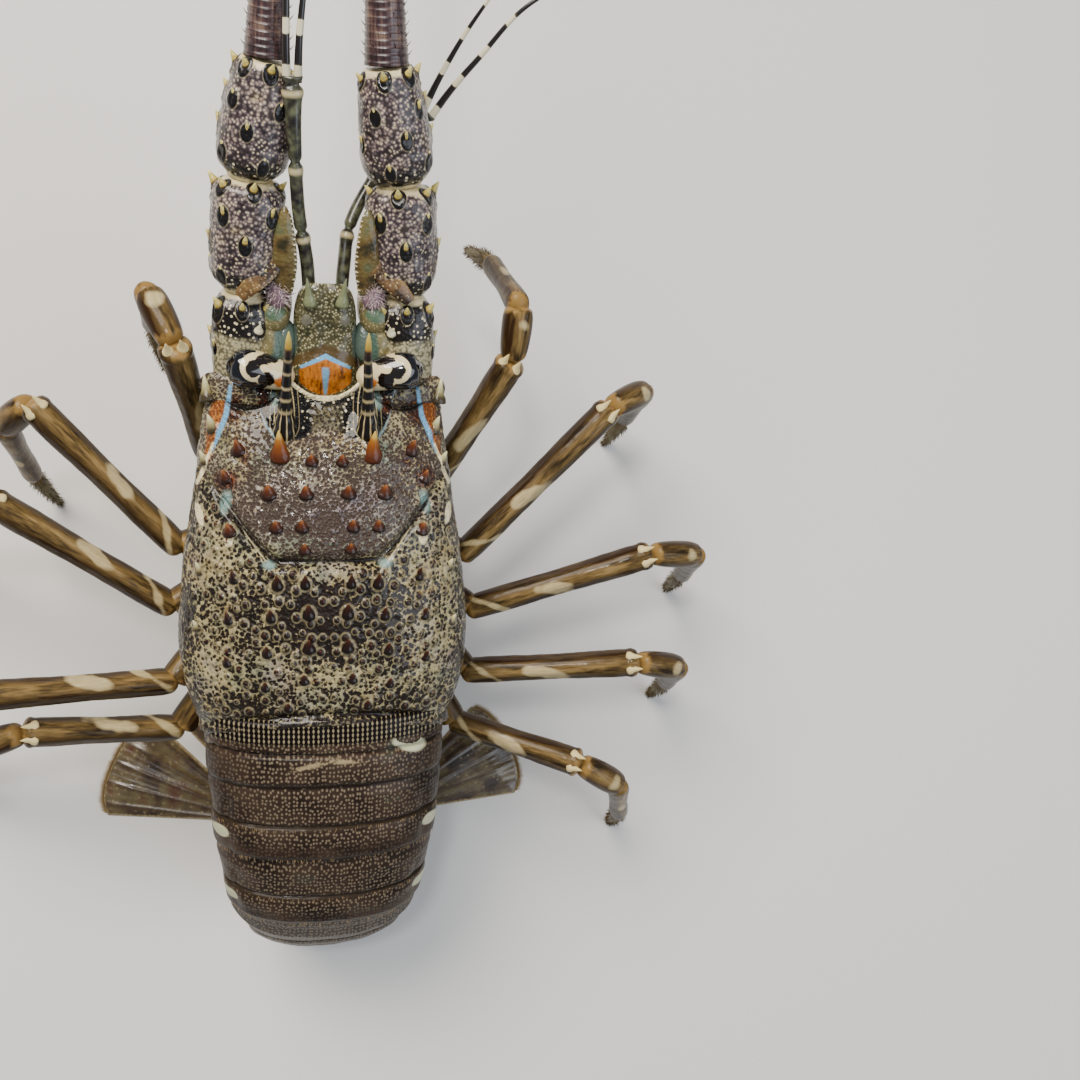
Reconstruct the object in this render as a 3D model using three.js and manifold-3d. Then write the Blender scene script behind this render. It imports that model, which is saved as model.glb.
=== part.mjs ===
// Spiny lobster, a still life-size model. Millimetres, +Y forward, +Z up.
// The origin is on the telson's flat face, near its middle, on the floor.
import * as THREE from 'three';
import { mergeVertices } from 'three/addons/utils/BufferGeometryUtils.js';
import Module from 'manifold-3d';

const wasm = await Module();
wasm.setup();
const { Manifold, Mesh: ManifoldMesh } = wasm;

// Driving dimensions.
const gap = 0.3;
const degree = Math.PI / 180;
const bodyPitch = 16 * degree;
const shell = {
  front: 91, rear: 8.5, mid: -19, margin: -36, grooveY: 53, grooveRise: 24, grooveDepth: 2,
};
const tail = {
  root: [0, 8, -18],
  bends: [3, 8, 18, 50, 88, 126, 164],
  lengths: [11, 20.5, 20.5, 18, 16, 18],
  halfWidths: [29.5, 30, 28.3, 25.6, 22.8, 20.4, 17.6],
  arches: [15, 15, 14.6, 14, 13, 11.5, 7.4],
  telsonLength: 42, telsonDrop: 7, originAhead: 18.7, floorClearance: 0.4, seat: 0.65,
};
const fan = {
  thick: 1.8,
  inner: { pivot: [13.5, 0], from: 5, to: 42, radius: 46 },
  outer: { pivot: [16, -1], from: 45, to: 84, radius: 50 },
};
const antenna = { length: 300, split: 0.42, rise: 30 * degree };

// Colours and finishes.
const paint = (color, roughness) => new THREE.MeshStandardMaterial({
  color, roughness, metalness: 0,
});
const shellBrown = paint('#4a4236', 0.4);
const tailBrown = paint('#3b2a20', 0.35);
const legBronze = paint('#7a6234', 0.3);
const antennaPurple = paint('#4a3638', 0.45);
const peduncleGrey = paint('#6b5a55', 0.45);
const hornBlack = paint('#231c16', 0.3);
const eyeBlack = paint('#0b0a0a', 0.1);
const plateOlive = paint('#5d6b4c', 0.4);
const underCream = paint('#b7a27a', 0.5);
const bandedBlack = paint('#2b2522', 0.4);

// Vectors, curves and closed solids.
const vec = (x, y, z) => new THREE.Vector3(x, y, z);
const mirrored = (point, side) => vec(point[0] * side, point[1], point[2]);
const mix = THREE.MathUtils.lerp;
const sides = { left: -1, right: 1 };

function along(stations, y) {
  const last = stations.length - 1;
  let i = stations.findIndex((station) => station[0] > y) - 1;
  if (y <= stations[0][0]) i = 0;
  if (y >= stations[last][0]) i = last - 1;
  const [a, b] = [stations[i], stations[i + 1]];
  const [before, after] = [stations[Math.max(i - 1, 0)], stations[Math.min(i + 2, last)]];
  const t = THREE.MathUtils.clamp((y - a[0]) / (b[0] - a[0]), 0, 1);
  const slopeA = (b[1] - before[1]) / (b[0] - before[0]) * (b[0] - a[0]);
  const slopeB = (after[1] - a[1]) / (after[0] - a[0]) * (b[0] - a[0]);
  const t2 = t * t;
  const t3 = t2 * t;
  return (2 * t3 - 3 * t2 + 1) * a[1] + (t3 - 2 * t2 + t) * slopeA
    + (3 * t2 - 2 * t3) * b[1] + (t3 - t2) * slopeB;
}

function solidOf(geometry) {
  const bare = new THREE.BufferGeometry();
  bare.setAttribute('position', geometry.getAttribute('position'));
  bare.setIndex(geometry.getIndex());
  const merged = mergeVertices(bare, 1e-4);
  const corners = [];
  const index = merged.getIndex().array;
  for (let i = 0; i < index.length; i += 3) {
    const face = [index[i], index[i + 1], index[i + 2]];
    if (new Set(face).size === 3) corners.push(...face);
  }
  return new Manifold(new ManifoldMesh({
    numProp: 3,
    vertProperties: new Float32Array(merged.getAttribute('position').array),
    triVerts: new Uint32Array(corners),
  }));
}

// A closed solid through rings of points, with a fan at either end.
function loft(rings) {
  const around = rings[0].length;
  const middle = (ring) => ring.reduce((sum, p) => sum.add(p), vec(0, 0, 0))
    .divideScalar(around);
  const points = [...rings.flat(), middle(rings[0]), middle(rings.at(-1))];
  const faces = [];
  for (let row = 0; row < rings.length - 1; row += 1) {
    for (let i = 0; i < around; i += 1) {
      const a = row * around + i;
      const b = row * around + (i + 1) % around;
      faces.push([a, b, b + around], [a, b + around, a + around]);
    }
  }
  const start = (rings.length - 1) * around;
  for (let i = 0; i < around; i += 1) {
    const next = (i + 1) % around;
    faces.push([points.length - 2, next, i]);
    faces.push([points.length - 1, start + i, start + next]);
  }
  const build = (list) => {
    const geometry = new THREE.BufferGeometry().setFromPoints(points);
    geometry.setIndex(list.flat());
    return solidOf(geometry);
  };
  const solid = build(faces);
  return solid.volume() > 0 ? solid : build(faces.map(([a, b, c]) => [a, c, b]));
}

// A limb along points, with half sizes [across, deep] at each of them.
function limb(points, sizes, sides, up = vec(0, 0, 1)) {
  const rings = points.map((point, i) => {
    const before = points[Math.max(i - 1, 0)];
    const after = points[Math.min(i + 1, points.length - 1)];
    const ahead = after.clone().sub(point).normalize()
      .add(point.clone().sub(before).normalize()).normalize();
    const across = ahead.clone().cross(up).normalize();
    const deep = across.clone().cross(ahead);
    return Array.from({ length: sides }, (_, k) => {
      const turn = (k + 0.5) / sides * Math.PI * 2;
      return point.clone()
        .addScaledVector(across, Math.cos(turn) * sizes[i][0])
        .addScaledVector(deep, Math.sin(turn) * sizes[i][1]);
    });
  });
  return loft(rings);
}

// A smooth limb whose path and sizes pass through few named stations.
function smoothLimb(stations, count, sides, up) {
  const path = new THREE.CatmullRomCurve3(stations.map((s) => vec(...s.at)), false, 'centripetal');
  const sizeAt = (t, axis) => along(stations.map((s, i) => [i, s.half[axis]]),
    t * (stations.length - 1));
  const steps = Array.from({ length: count + 1 }, (_, i) => i / count);
  return limb(steps.map((t) => path.getPoint(t)),
    steps.map((t) => [sizeAt(t, 0), sizeAt(t, 1)]), sides, up);
}

function ball(centre, radii, detail = 2) {
  const geometry = new THREE.IcosahedronGeometry(1, detail);
  geometry.scale(...radii).translate(...centre);
  return solidOf(geometry);
}

// A thorn with its root sunk a third of its length under the surface.
function spine(foot, aim, length, radius) {
  const sunk = length * 0.35;
  const cone = new THREE.ConeGeometry(radius * 1.3, length + sunk, 5);
  cone.translate(0, (length - sunk) / 2, 0);
  cone.applyQuaternion(new THREE.Quaternion().setFromUnitVectors(vec(0, 1, 0), aim));
  return solidOf(cone.translate(...foot));
}

function box(centre, sizes) {
  return solidOf(new THREE.BoxGeometry(...sizes).translate(...centre));
}

const joined = (solids) => Manifold.union(solids);

function largest(solid) {
  const bodies = solid.decompose();
  return bodies.reduce((best, body) => (body.volume() > best.volume() ? body : best));
}

// The solid with every face moved out by a distance, to cut its seat.
function grown(solid, distance = gap) {
  const mesh = solid.getMesh();
  const count = mesh.numVert;
  const at = (i) => vec(...mesh.vertProperties.slice(i * mesh.numProp, i * mesh.numProp + 3));
  const normals = Array.from({ length: count }, () => []);
  for (let i = 0; i < mesh.triVerts.length; i += 3) {
    const face = [...mesh.triVerts.slice(i, i + 3)];
    const [a, b, c] = face.map(at);
    const normal = b.sub(a).cross(c.sub(a)).normalize();
    face.forEach((v) => normals[v].push(normal));
  }
  const moved = new Float32Array(count * 3);
  for (let i = 0; i < count; i += 1) {
    const mean = normals[i].reduce((sum, n) => sum.add(n), vec(0, 0, 0)).normalize();
    const least = Math.min(...normals[i].map((n) => n.dot(mean)));
    const point = at(i).addScaledVector(mean, distance / Math.max(least, 0.45));
    moved.set(point.toArray(), i * 3);
  }
  return new Manifold(new ManifoldMesh({
    numProp: 3, vertProperties: moved, triVerts: mesh.triVerts,
  }));
}

const seated = (parent, ...children) => children.reduce(
  (rest, child) => rest.subtract(grown(child)), parent,
);

// Places of the body and of each tail ring in the world.
const turned = (angle) => new THREE.Matrix4().makeRotationX(angle);
const tailHinges = tail.lengths.reduce((list, length, i) => {
  const back = vec(0, -length, 0).applyMatrix4(turned(tail.bends[i] * degree));
  return [...list, list.at(-1).clone().add(back)];
}, [vec(...tail.root)]);
const telsonHinge = tailHinges.at(-1).clone().applyMatrix4(turned(bodyPitch));
const bodyPlace = turned(bodyPitch).setPosition(
  0, -telsonHinge.y - tail.originAhead, tail.telsonDrop - telsonHinge.z,
);
const ringPlace = (i) => bodyPlace.clone().multiply(
  turned(tail.bends[i] * degree).setPosition(tailHinges[i]),
);
const placed = (solid, matrix) => solid.transform(matrix.elements);
const inWorld = (point) => point.clone().applyMatrix4(bodyPlace);

// Carapace: half width and top height by distance forward.
const shellWidth = [[6, 30.5], [10, 32], [20, 35], [30, 36], [40, 35.5], [50, 34.4], [60, 33],
  [70, 31.3], [80, 29.9], [91, 28.2]];
const shellTop = [[6, -7], [10, -4.2], [20, -1.5], [30, -0.2], [40, 0.4], [50, 0], [60, -0.8],
  [70, -2.6], [80, -5.2], [91, -10]];
const grooveLine = (x) => shell.grooveY
  + shell.grooveRise * Math.max(0, (Math.abs(x) - 12) / 20) ** 1.2;
const rearSweep = (x) => -4 * (x / 30) ** 2;

function shellSink(x, y) {
  const neck = shell.grooveDepth * Math.exp(-(((y - grooveLine(x)) / 1.7) ** 2));
  const hind = 1.3 * Math.exp(-(((y - rearSweep(x) - 14) / 1.3) ** 2));
  return neck + hind;
}

function shellPoint(turn, y) {
  const half = along(shellWidth, y);
  const top = along(shellTop, y);
  const upper = Math.abs(turn) <= Math.PI / 2;
  const across = Math.abs(Math.sin(turn)) ** (upper ? 0.9 : 0.35);
  const x = Math.sign(turn) * half * across;
  const sink = upper ? shellSink(x, y) * Math.cos(turn) ** 0.5 : 0;
  const depth = upper ? top - sink - shell.mid : 22;
  const lift = Math.sign(Math.cos(turn)) * Math.abs(Math.cos(turn)) ** 0.9;
  return vec(x * (1 - sink / 60), y, shell.mid + depth * lift);
}

function shellBlank() {
  const rows = [8.5, 10, 12, 14, 16, 23, 31, 39, 46, 51.4, 53, 54.6, 59, 65, 71, 77, 83, 87, 91];
  const under = [150, 122, 105];
  const over = Array.from({ length: 25 }, (_, i) => (i / 12 - 1) * 90);
  const turns = [...under.map((turn) => -turn), ...over, ...under.toReversed()];
  const rings = rows.map((row) => turns.map((turnDegrees) => {
    const turn = turnDegrees * degree;
    const x = 33 * Math.sin(turn);
    const rear = row < shell.grooveY;
    const share = rear ? (row - shell.rear) / (shell.grooveY - shell.rear)
      : (shell.front - row) / (shell.front - shell.grooveY);
    const rise = Math.abs(turn) < Math.PI / 2 ? grooveLine(x) - shell.grooveY
      : grooveLine(33) - shell.grooveY;
    const sweep = rear ? rearSweep(x) * (1 - share) : 0;
    return shellPoint(turn, row + rise * share + sweep);
  }));
  const above = box([0, 50, shell.margin + 50], [100, 140, 100]);
  return loft(rings).intersect(above);
}

// Shell spines, in mirrored pairs: distance forward, distance out, length and radius.
const shellSpines = [
  [79, 10.8, 6, 1.9], [77, 3.6, 2.6, 0.9], [79.3, 20.5, 4, 1.3], [72.6, 23.6, 3, 1],
  [69.7, 5, 3, 1], [69.6, 13.6, 3.2, 1.1], [61.7, 12, 2.6, 0.9], [61.9, 6, 2.6, 0.9],
  [56.5, 5.4, 2.4, 0.8], [60.3, 22.8, 3, 1], [48, 11.9, 3, 1], [48.2, 5.4, 2.8, 0.9],
  [41, 4.6, 3, 1], [40, 13.5, 2.6, 0.9], [32.4, 4.6, 2.8, 0.9], [31, 14.5, 2.4, 0.9],
  [24, 5.8, 2, 0.8], [22, 15, 2, 0.8], [16.5, 9.6, 1.8, 0.7], [49, 22, 2.6, 0.9],
  [39, 23.5, 2.4, 0.9], [28, 24, 2.2, 0.8], [50, 30, 2.4, 0.9], [36, 31, 2.2, 0.8],
  [84, 26.5, 3.4, 1.2], [76, 28.5, 2.6, 1],
];
const cornerSpine = { foot: [27.2, 88, -15], aim: [0.12, 1, 0.05], length: 8.6, radius: 2 };

function shellSpot(x, y) {
  const turn = Math.asin(Math.min(1, (x / along(shellWidth, y)) ** (1 / 0.9)));
  const point = shellPoint(turn, y);
  const side = shellPoint(turn + 0.02, y).sub(point);
  const ahead = shellPoint(turn, y + 0.5).sub(point);
  return { point, normal: side.cross(ahead).normalize() };
}

function spinesOfShell() {
  return Object.values(sides).flatMap((side) => {
    const small = shellSpines.map(([y, x, length, radius]) => {
      const { point, normal } = shellSpot(x, y);
      const aim = normal.multiplyScalar(0.75).add(vec(0, 0.85, 0)).normalize();
      return spine(mirrored(point.toArray(), side), mirrored(aim.toArray(), side), length, radius);
    });
    const { foot, aim, length, radius } = cornerSpine;
    return [...small, spine(mirrored(foot, side), mirrored(aim, side).normalize(), length, radius)];
  });
}

// Eyes, horns, front plate and mouth parts in the body's own frame.
function horn(side) {
  return smoothLimb([
    { at: [side * 9.8, 80.5, -8.8], half: [3, 3] },
    { at: [side * 9.7, 85, -6], half: [2.7, 2.7] },
    { at: [side * 9.6, 89, -3.6], half: [1.8, 1.8] },
    { at: [side * 9.4, 94, -0.8], half: [1.25, 1.25] },
    { at: [side * 9, 101, 3.6], half: [1, 1] },
    { at: [side * 8.8, 107.4, 8.4], half: [0.25, 0.25] },
  ], 8, 8);
}

function eye(side) {
  const stalk = smoothLimb([
    { at: [side * 8.2, 95.4, -11.8], half: [2, 2] },
    { at: [side * 9, 95.8, -11.4], half: [3.1, 3.1] },
    { at: [side * 13, 97, -10], half: [3.8, 3.8] },
    { at: [side * 17, 98, -9], half: [3.8, 3.8] },
  ], 5, 9);
  const globe = new THREE.SphereGeometry(1, 12, 8).rotateZ(Math.PI / 2);
  return joined([stalk, solidOf(globe.scale(4.2, 4.5, 4.5).translate(side * 18.4, 98, -9))]);
}

function frontPlate() {
  const rows = [[90.5, 9.5, -15], [95, 9, -13.5], [100, 7.4, -12], [106, 7.2, -10.5],
    [112, 6.8, -8], [117, 5.6, -6]];
  const rings = rows.map(([y, half, top]) => {
    const floor = -24 + (y - 90) * 0.35;
    return [[-0.75, 1], [0, 1.12], [0.75, 1], [1, 0.7], [1.05, 0], [-1.05, 0], [-1, 0.7]].map(
      ([across, up]) => vec(half * across, y, mix(floor, top, up)),
    );
  });
  const spines = Object.values(sides).map((side) => spine(
    vec(side * 3.8, 114.5, -6.2), vec(side * 0.12, 0.85, 0.5).normalize(), 5.5, 1.1,
  ));
  return joined([loft(rings), ...spines]);
}

function epistome() {
  const rows = [[80, 11, -36.5, -41], [88, 12.5, -27, -41], [96, 12, -25, -37],
    [102, 9.5, -24.5, -32]];
  const rings = rows.map(([y, half, top, floor]) => [
    vec(-half, y, top), vec(half, y, top), vec(half * 1.05, y, mix(top, floor, 0.6)),
    vec(half * 0.6, y, floor), vec(-half * 0.6, y, floor),
    vec(-half * 1.05, y, mix(top, floor, 0.6)),
  ]);
  return loft(rings);
}

function maxilliped(side) {
  return smoothLimb([
    { at: [side * 5.4, 72, -43], half: [3, 3] },
    { at: [side * 6.4, 80, -46.5], half: [3.4, 3] },
    { at: [side * 7.2, 90, -46], half: [3.1, 2.8] },
    { at: [side * 6.4, 98, -43], half: [2.4, 2.2] },
    { at: [side * 5.6, 103, -38], half: [1.4, 1.4] },
  ], 9, 7);
}

function sternum() {
  const rows = [[12, 21, -45], [24, 24, -46.5], [40, 20, -47], [56, 15, -47], [70, 11, -46],
    [79, 9.5, -44]];
  const top = shell.margin - gap;
  return loft(rows.map(([y, half, floor]) => [
    vec(-half, y, top), vec(half, y, top), vec(half, y, mix(top, floor, 0.55)),
    vec(half * 0.5, y, floor), vec(-half * 0.5, y, floor), vec(-half, y, mix(top, floor, 0.55)),
  ]));
}

// Antennae: three stout joints, then a long tapering flagellum in two lengths.
const antennaJoints = [[20.2, 88, -22], [18.8, 116, -14], [16.9, 141, -6], [12.9, 165, 3]];

// Share of the joint's length, half width and half depth.
const jointShapes = [
  [[0, 5.6, 6.5], [0.25, 6.6, 7], [0.6, 7, 7.2], [0.88, 6.6, 7], [1, 4.6, 5]],
  [[0, 4.6, 5], [0.16, 7.4, 7.4], [0.45, 8.1, 8], [0.75, 8.2, 8], [0.92, 7.4, 7.2], [1, 4.8, 5]],
  [[0, 4.8, 5], [0.14, 7.6, 7.4], [0.4, 8, 7.6], [0.7, 7.4, 7.2], [0.92, 6.3, 6.2], [1, 4.9, 5]],
];

function jointBody(side, index) {
  const start = mirrored(antennaJoints[index], side);
  const end = mirrored(antennaJoints[index + 1], side);
  const aim = end.clone().sub(start).normalize();
  const shapes = jointShapes[index];
  const inset = gap / 2;
  const length = end.distanceTo(start) - 2 * inset;
  const points = shapes.map(([t]) => start.clone().addScaledVector(aim, inset + t * length));
  const joint = limb(points, shapes.map(([, across, deep]) => [across, deep]), 11);
  return index === 0 ? joined([joint, basePad(side)]) : joint;
}

// Thorns of an antennal joint: share of its length, turn from the top, length.
const jointSpines = [
  [[0.55, 60, 2.2], [0.88, -50, 2.6], [0.9, 0, 2.6], [0.88, 55, 3.6], [0.6, 95, 3]],
  [[0.22, -35, 2.4], [0.2, 40, 2.4], [0.45, -75, 2.6], [0.5, 0, 2.6], [0.45, 75, 3],
    [0.74, -40, 2.8], [0.72, 38, 2.8], [0.93, -80, 2.8], [0.94, -10, 3], [0.93, 50, 3],
    [0.9, 95, 3.6], [0.2, 100, 2.6]],
  [[0.2, -20, 2.2], [0.24, 50, 2.6], [0.42, -70, 2.4], [0.46, 12, 2.4], [0.4, 95, 3],
    [0.66, -35, 2.4], [0.68, 45, 2.6], [0.92, -75, 2.6], [0.94, -15, 2.8], [0.94, 40, 2.8],
    [0.92, 90, 3], [0.68, 100, 2.8]],
];

function thornsOfJoint(side, index) {
  const start = mirrored(antennaJoints[index], side);
  const end = mirrored(antennaJoints[index + 1], side);
  const aim = end.clone().sub(start).normalize();
  const out = aim.clone().cross(vec(0, 0, 1)).normalize().multiplyScalar(side);
  const top = out.clone().cross(aim).multiplyScalar(side).normalize();
  const sizes = jointShapes[index];
  return jointSpines[index].map(([t, turn, length]) => {
    const half = [1, 2].map((axis) => along(sizes.map((size) => [size[0], size[axis]]), t));
    const spread = [Math.sin(turn * degree), Math.cos(turn * degree)];
    const foot = start.clone().lerp(end, t)
      .addScaledVector(out, spread[0] * half[0] * 0.93)
      .addScaledVector(top, spread[1] * half[1] * 0.93);
    const lean = out.clone().multiplyScalar(spread[0]).addScaledVector(top, spread[1]);
    return spine(foot, lean.multiplyScalar(0.7).add(aim).normalize(), length, length * 0.36);
  });
}

// The pads at the inner side of each antennal base, and the flat scale ahead of them.
function basePad(side) {
  const scale = smoothLimb([
    { at: [side * 9.9, 116, -9.4], half: [2.3, 1.2] },
    { at: [side * 9.4, 122, -6.3], half: [2.8, 1] },
    { at: [side * 9.4, 128, -4], half: [2.3, 0.9] },
    { at: [side * 9.3, 134.6, -2.8], half: [0.8, 0.6] },
  ], 5, 6);
  return joined([ball([side * 12.8, 105, -16.5], [5, 10, 5.5], 1),
    ball([side * 10.8, 114, -10.5], [2.6, 3.6, 2.8], 1), scale]);
}

function flagellumPath(side) {
  const root = inWorld(mirrored(antennaJoints[3], side));
  const points = [root];
  const steps = 16;
  const step = antenna.length / steps;
  for (let i = 0; i < steps; i += 1) {
    const t = i / (steps - 1);
    const rise = antenna.rise * (1 - 1.45 * t);
    const spread = side * (-4 + 30 * t ** 1.3) * degree;
    points.push(points.at(-1).clone().add(vec(
      Math.sin(spread) * Math.cos(rise), Math.cos(spread) * Math.cos(rise), Math.sin(rise),
    ).multiplyScalar(step)));
  }
  return new THREE.CatmullRomCurve3(points, false, 'centripetal');
}

const flagellumSize = [[0, 5], [0.03, 4.5], [0.07, 4.1], [0.25, 3.5], [0.5, 2.5], [0.75, 1.6],
  [1, 0.45]];

function flagellum(side, from, to, count) {
  const path = flagellumPath(side);
  const steps = Array.from({ length: count + 1 }, (_, i) => mix(from, to, i / count));
  const sizes = steps.map((t) => along(flagellumSize, t)).map((r) => [r, r]);
  return limb(steps.map((t) => path.getPointAt(t)), sizes, 7);
}

// Antennules: a thin jointed stem and two banded whips, in the body's frame.
const antennules = {
  left: {
    stem: [[-3.6, 112, -13], [-4.2, 122, -9], [-6.2, 134, -3], [-7.2, 150, 4.5], [-7.6, 161, 9]],
    outer: [[-8.8, 160, 8], [-8.8, 169, 11.5], [-8.4, 185, 15], [-6, 205, 18], [-10, 228, 22]],
    inner: [[-6.4, 160, 8], [-6, 169, 12], [-4, 183, 16], [2, 200, 20]],
  },
  right: {
    stem: [[3.6, 112, -13], [4.4, 122, -13], [6, 132, -14], [14, 146, -17], [24, 158, -13]],
    outer: [[24.4, 156.6, -13.4], [29, 163, -10.5], [35, 170, -6], [44, 180, 0], [62, 190, 6]],
    inner: [[22.8, 158.2, -13.4], [26, 165, -10.5], [31, 174, -6], [37, 183, 0]],
  },
};

function stem(points) {
  const halves = [[1.5, 1.5], [1.6, 1.6], [1.5, 1.5], [1.6, 1.5], [2.3, 1.4]];
  return smoothLimb(points.map((at, i) => ({ at, half: halves[i] })), 8, 7);
}

function whip(points) {
  const last = points.length - 1;
  return smoothLimb(points.map((at, i) => {
    const half = mix(0.95, 0.35, i / last);
    return { at, half: [half, half] };
  }), 12, 5);
}

// Tail rings, each in its own frame with the hinge at its origin. Every ring is one
// loft: a front that rolls in the seat of the ring before it, then the arched shell
// with a cross groove and a pointed lobe on either side.
function ringOutline(half, arch, y, { sink = 0, extra = 0, lobe = 0, roll = 0 }) {
  const out = extra - sink;
  const floor = -0.5 * arch - extra;
  const arc = Array.from({ length: 13 }, (_, i) => {
    const turn = (i / 6 - 1) * 88 * degree;
    const side = Math.sign(turn) * Math.abs(Math.sin(turn)) ** 0.85;
    return [(half + out) * side, (arch + out) * Math.cos(turn) ** 0.9];
  });
  const tip = [half + out - 0.8, floor - 0.5 - extra - lobe * arch * 0.8];
  const inner = [half - 4.6 - extra, floor];
  const outline = [[-inner[0], inner[1]], [-tip[0], tip[1]], ...arc, tip, inner];
  return outline.map(([x, z]) => vec(
    x, y + (2 + Math.max(z, 0)) * Math.sin(roll), z > 0 ? z * Math.cos(roll) : z,
  ));
}

const ringMarks = [
  { t: 0.08, lobe: 0.1 }, { t: 0.42, lobe: 0.55 }, { t: 0.48, lobe: 0.7, sink: 1.1 },
  { t: 0.54, lobe: 0.9 }, { t: 0.8, lobe: 1 }, { t: 1, lobe: 0.15, sink: 0.4 },
];

function tailRing(i, extra = 0) {
  const length = tail.lengths[i];
  const [half, halfNext] = [tail.halfWidths[i], tail.halfWidths[i + 1]];
  const [arch, archNext] = [tail.arches[i], tail.arches[i + 1]];
  const start = i === 0 ? 4 : -2.5;
  const over = i === 5 ? 0 : 1.5;
  const rolls = [60, 40, 20, 0].map((turn) => ringOutline(half - 1.4, arch - 1.3, extra, {
    extra, roll: turn * degree,
  }));
  const front = i === 0 ? [ringOutline(half, arch, start + 1 + extra, { sink: 1, extra })] : rolls;
  const rings = ringMarks.map(({ t, lobe, sink }) => ringOutline(
    mix(half, halfNext, t), mix(arch, archNext, t), mix(start, -length - over, t),
    { sink, extra, lobe: i === 0 ? lobe * 0.3 : lobe },
  ));
  const body = loft([...front, ...rings]);
  if (i === 0 || i === 5) return body;
  const paddles = Object.values(sides).map((side) => limb([
    vec(side * 13, -length * 0.5, -arch * 0.3), vec(side * 14, -length * 0.55, -arch * 0.85),
    vec(side * 13, -length * 0.6, -arch * 1.25),
  ], [[3, 1], [5, 0.9], [2, 0.5]], 5, vec(0, 1, 0)));
  return extra > 0 ? body : joined([body, ...paddles]);
}

// Tail fan blades, flat on the floor, with the fan's ventral side up.
const fanRoot = inWorld(tailHinges.at(-1));
function blade({ pivot, from, to, radius }, side) {
  const steps = 6;
  const outline = [from, to].map((turn) => [3, turn]);
  const ends = Array.from({ length: steps + 1 }, (_, i) => i / steps).map((t) => [
    radius * (1 - 0.06 * (2 * t - 1) ** 4), mix(to, from, t),
  ]);
  const points = [...outline, ...ends].map(([reach, turn]) => new THREE.Vector2(
    side * (pivot[0] + reach * Math.sin(turn * degree)),
    fanRoot.y + pivot[1] + reach * Math.cos(turn * degree),
  ));
  const shape = new THREE.Shape(points);
  return solidOf(new THREE.ExtrudeGeometry(shape, { depth: fan.thick, bevelEnabled: false }));
}

// Ridges that fan out over a blade's upper face.
function rays({ pivot, from, to, radius }, side, count) {
  return Array.from({ length: count }, (_, i) => {
    const turn = mix(from, to, (i + 0.5) / count) * degree;
    const aim = vec(side * Math.sin(turn), Math.cos(turn), 0);
    const start = vec(side * pivot[0], fanRoot.y + pivot[1], fan.thick);
    const points = [start.clone().addScaledVector(aim, 9), start.addScaledVector(aim, radius - 3)];
    return limb(points, [[0.7, 0.5], [0.5, 0.35]], 4);
  });
}

const aboveFloor = box([0, 100, 200], [1000, 1200, 400]);

function telson() {
  const { y, z } = fanRoot;
  const plate = [[-10.5, 1], [10.5, 1], [12.5, 34], [10, 41], [4, 42], [-4, 42], [-10, 41],
    [-12.5, 34]].map(([x, ahead]) => new THREE.Vector2(x, y + ahead));
  const body = solidOf(new THREE.ExtrudeGeometry(new THREE.Shape(plate),
    { depth: fan.thick, bevelEnabled: false }));
  const knuckle = ball([0, y, z - 1.6], [13, 5.6, 5.4], 1);
  const ridges = rays({ pivot: [0, -10], from: -11, to: 11, radius: 50 }, 1, 4);
  return joined([body, knuckle, ...ridges]).intersect(aboveFloor);
}

function uropod(side, form) {
  const root = form === fan.outer ? ball([side * 18.5, fanRoot.y + 0.5, 4.2], [5, 5.2, 4.2], 1)
    : ball([side * 15.4, fanRoot.y + 7, 2.4], [2.6, 4, 2.4], 1);
  return joined([blade(form, side), root, ...rays(form, side, 5)]).intersect(aboveFloor);
}

// Legs: joints from the thigh's start to the tip, in the world's frame.
const legs = {
  left: [
    [[-29, 86, 67], [-35, 107, 104], [-41, 120, 100], [-43, 121, 63], [-41, 112, 45]],
    [[-36, 61, 62], [-72, 98, 76], [-80, 94, 63], [-80, 86, 23], [-76, 80, -0.8]],
    [[-38, 46, 59], [-82, 74, 74], [-96, 72, 65], [-106, 66, 24], [-108, 62, -0.8]],
    [[-38, 27, 55], [-86, 25, 67], [-100, 20, 57], [-107, 14, 19], [-106, 9, -0.8]],
    [[-37, 14, 46], [-77, 15, 57], [-90, 11, 51], [-101, 1, 19], [-104, -4, -0.8]],
  ],
  right: [
    [[30, 79, 67], [47, 106, 98], [47.5, 118, 105], [45, 136, 80], [41, 145, 62]],
    [[37, 58, 62], [78, 98, 78], [90, 104, 68], [97, 104, 23], [96, 99, -0.8]],
    [[39, 44, 59], [90, 58, 72], [105, 58, 64], [114, 54, 24], [116, 50, -0.8]],
    [[38, 27, 55], [87, 28, 66], [101, 26, 57], [109, 20, 19], [109, 15, -0.8]],
    [[36, 13, 46], [71, 0, 60], [83, -7, 53], [92, -20, 20], [94, -26, -0.8]],
  ],
};
const legRoots = [[14.5, 66], [16, 54], [18, 42.5], [20.5, 29], [21.5, 14]];

function legUpper(side, index, joints) {
  const [x, y] = legRoots[index];
  const root = inWorld(vec(side * (x - 3), y, -42));
  const hip = inWorld(vec(side * (x + 6), y, -45));
  const [thigh, knee] = joints;
  const aim = knee.clone().sub(thigh).normalize();
  const points = [root, hip, hip.clone().lerp(thigh, 0.35), hip.clone().lerp(thigh, 0.85),
    thigh.clone().addScaledVector(aim, 4), thigh.clone().lerp(knee, 0.5),
    knee.clone().addScaledVector(aim, -5), knee.clone().addScaledVector(aim, -gap / 2)];
  const sizes = [[3.6, 3.6], [4.6, 4.6], [3.7, 3.9], [3.9, 4.2], [3.7, 4.2], [3.4, 4],
    [3.9, 4.3], [3.2, 3.6]];
  return limb(points, sizes, 7);
}

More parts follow.
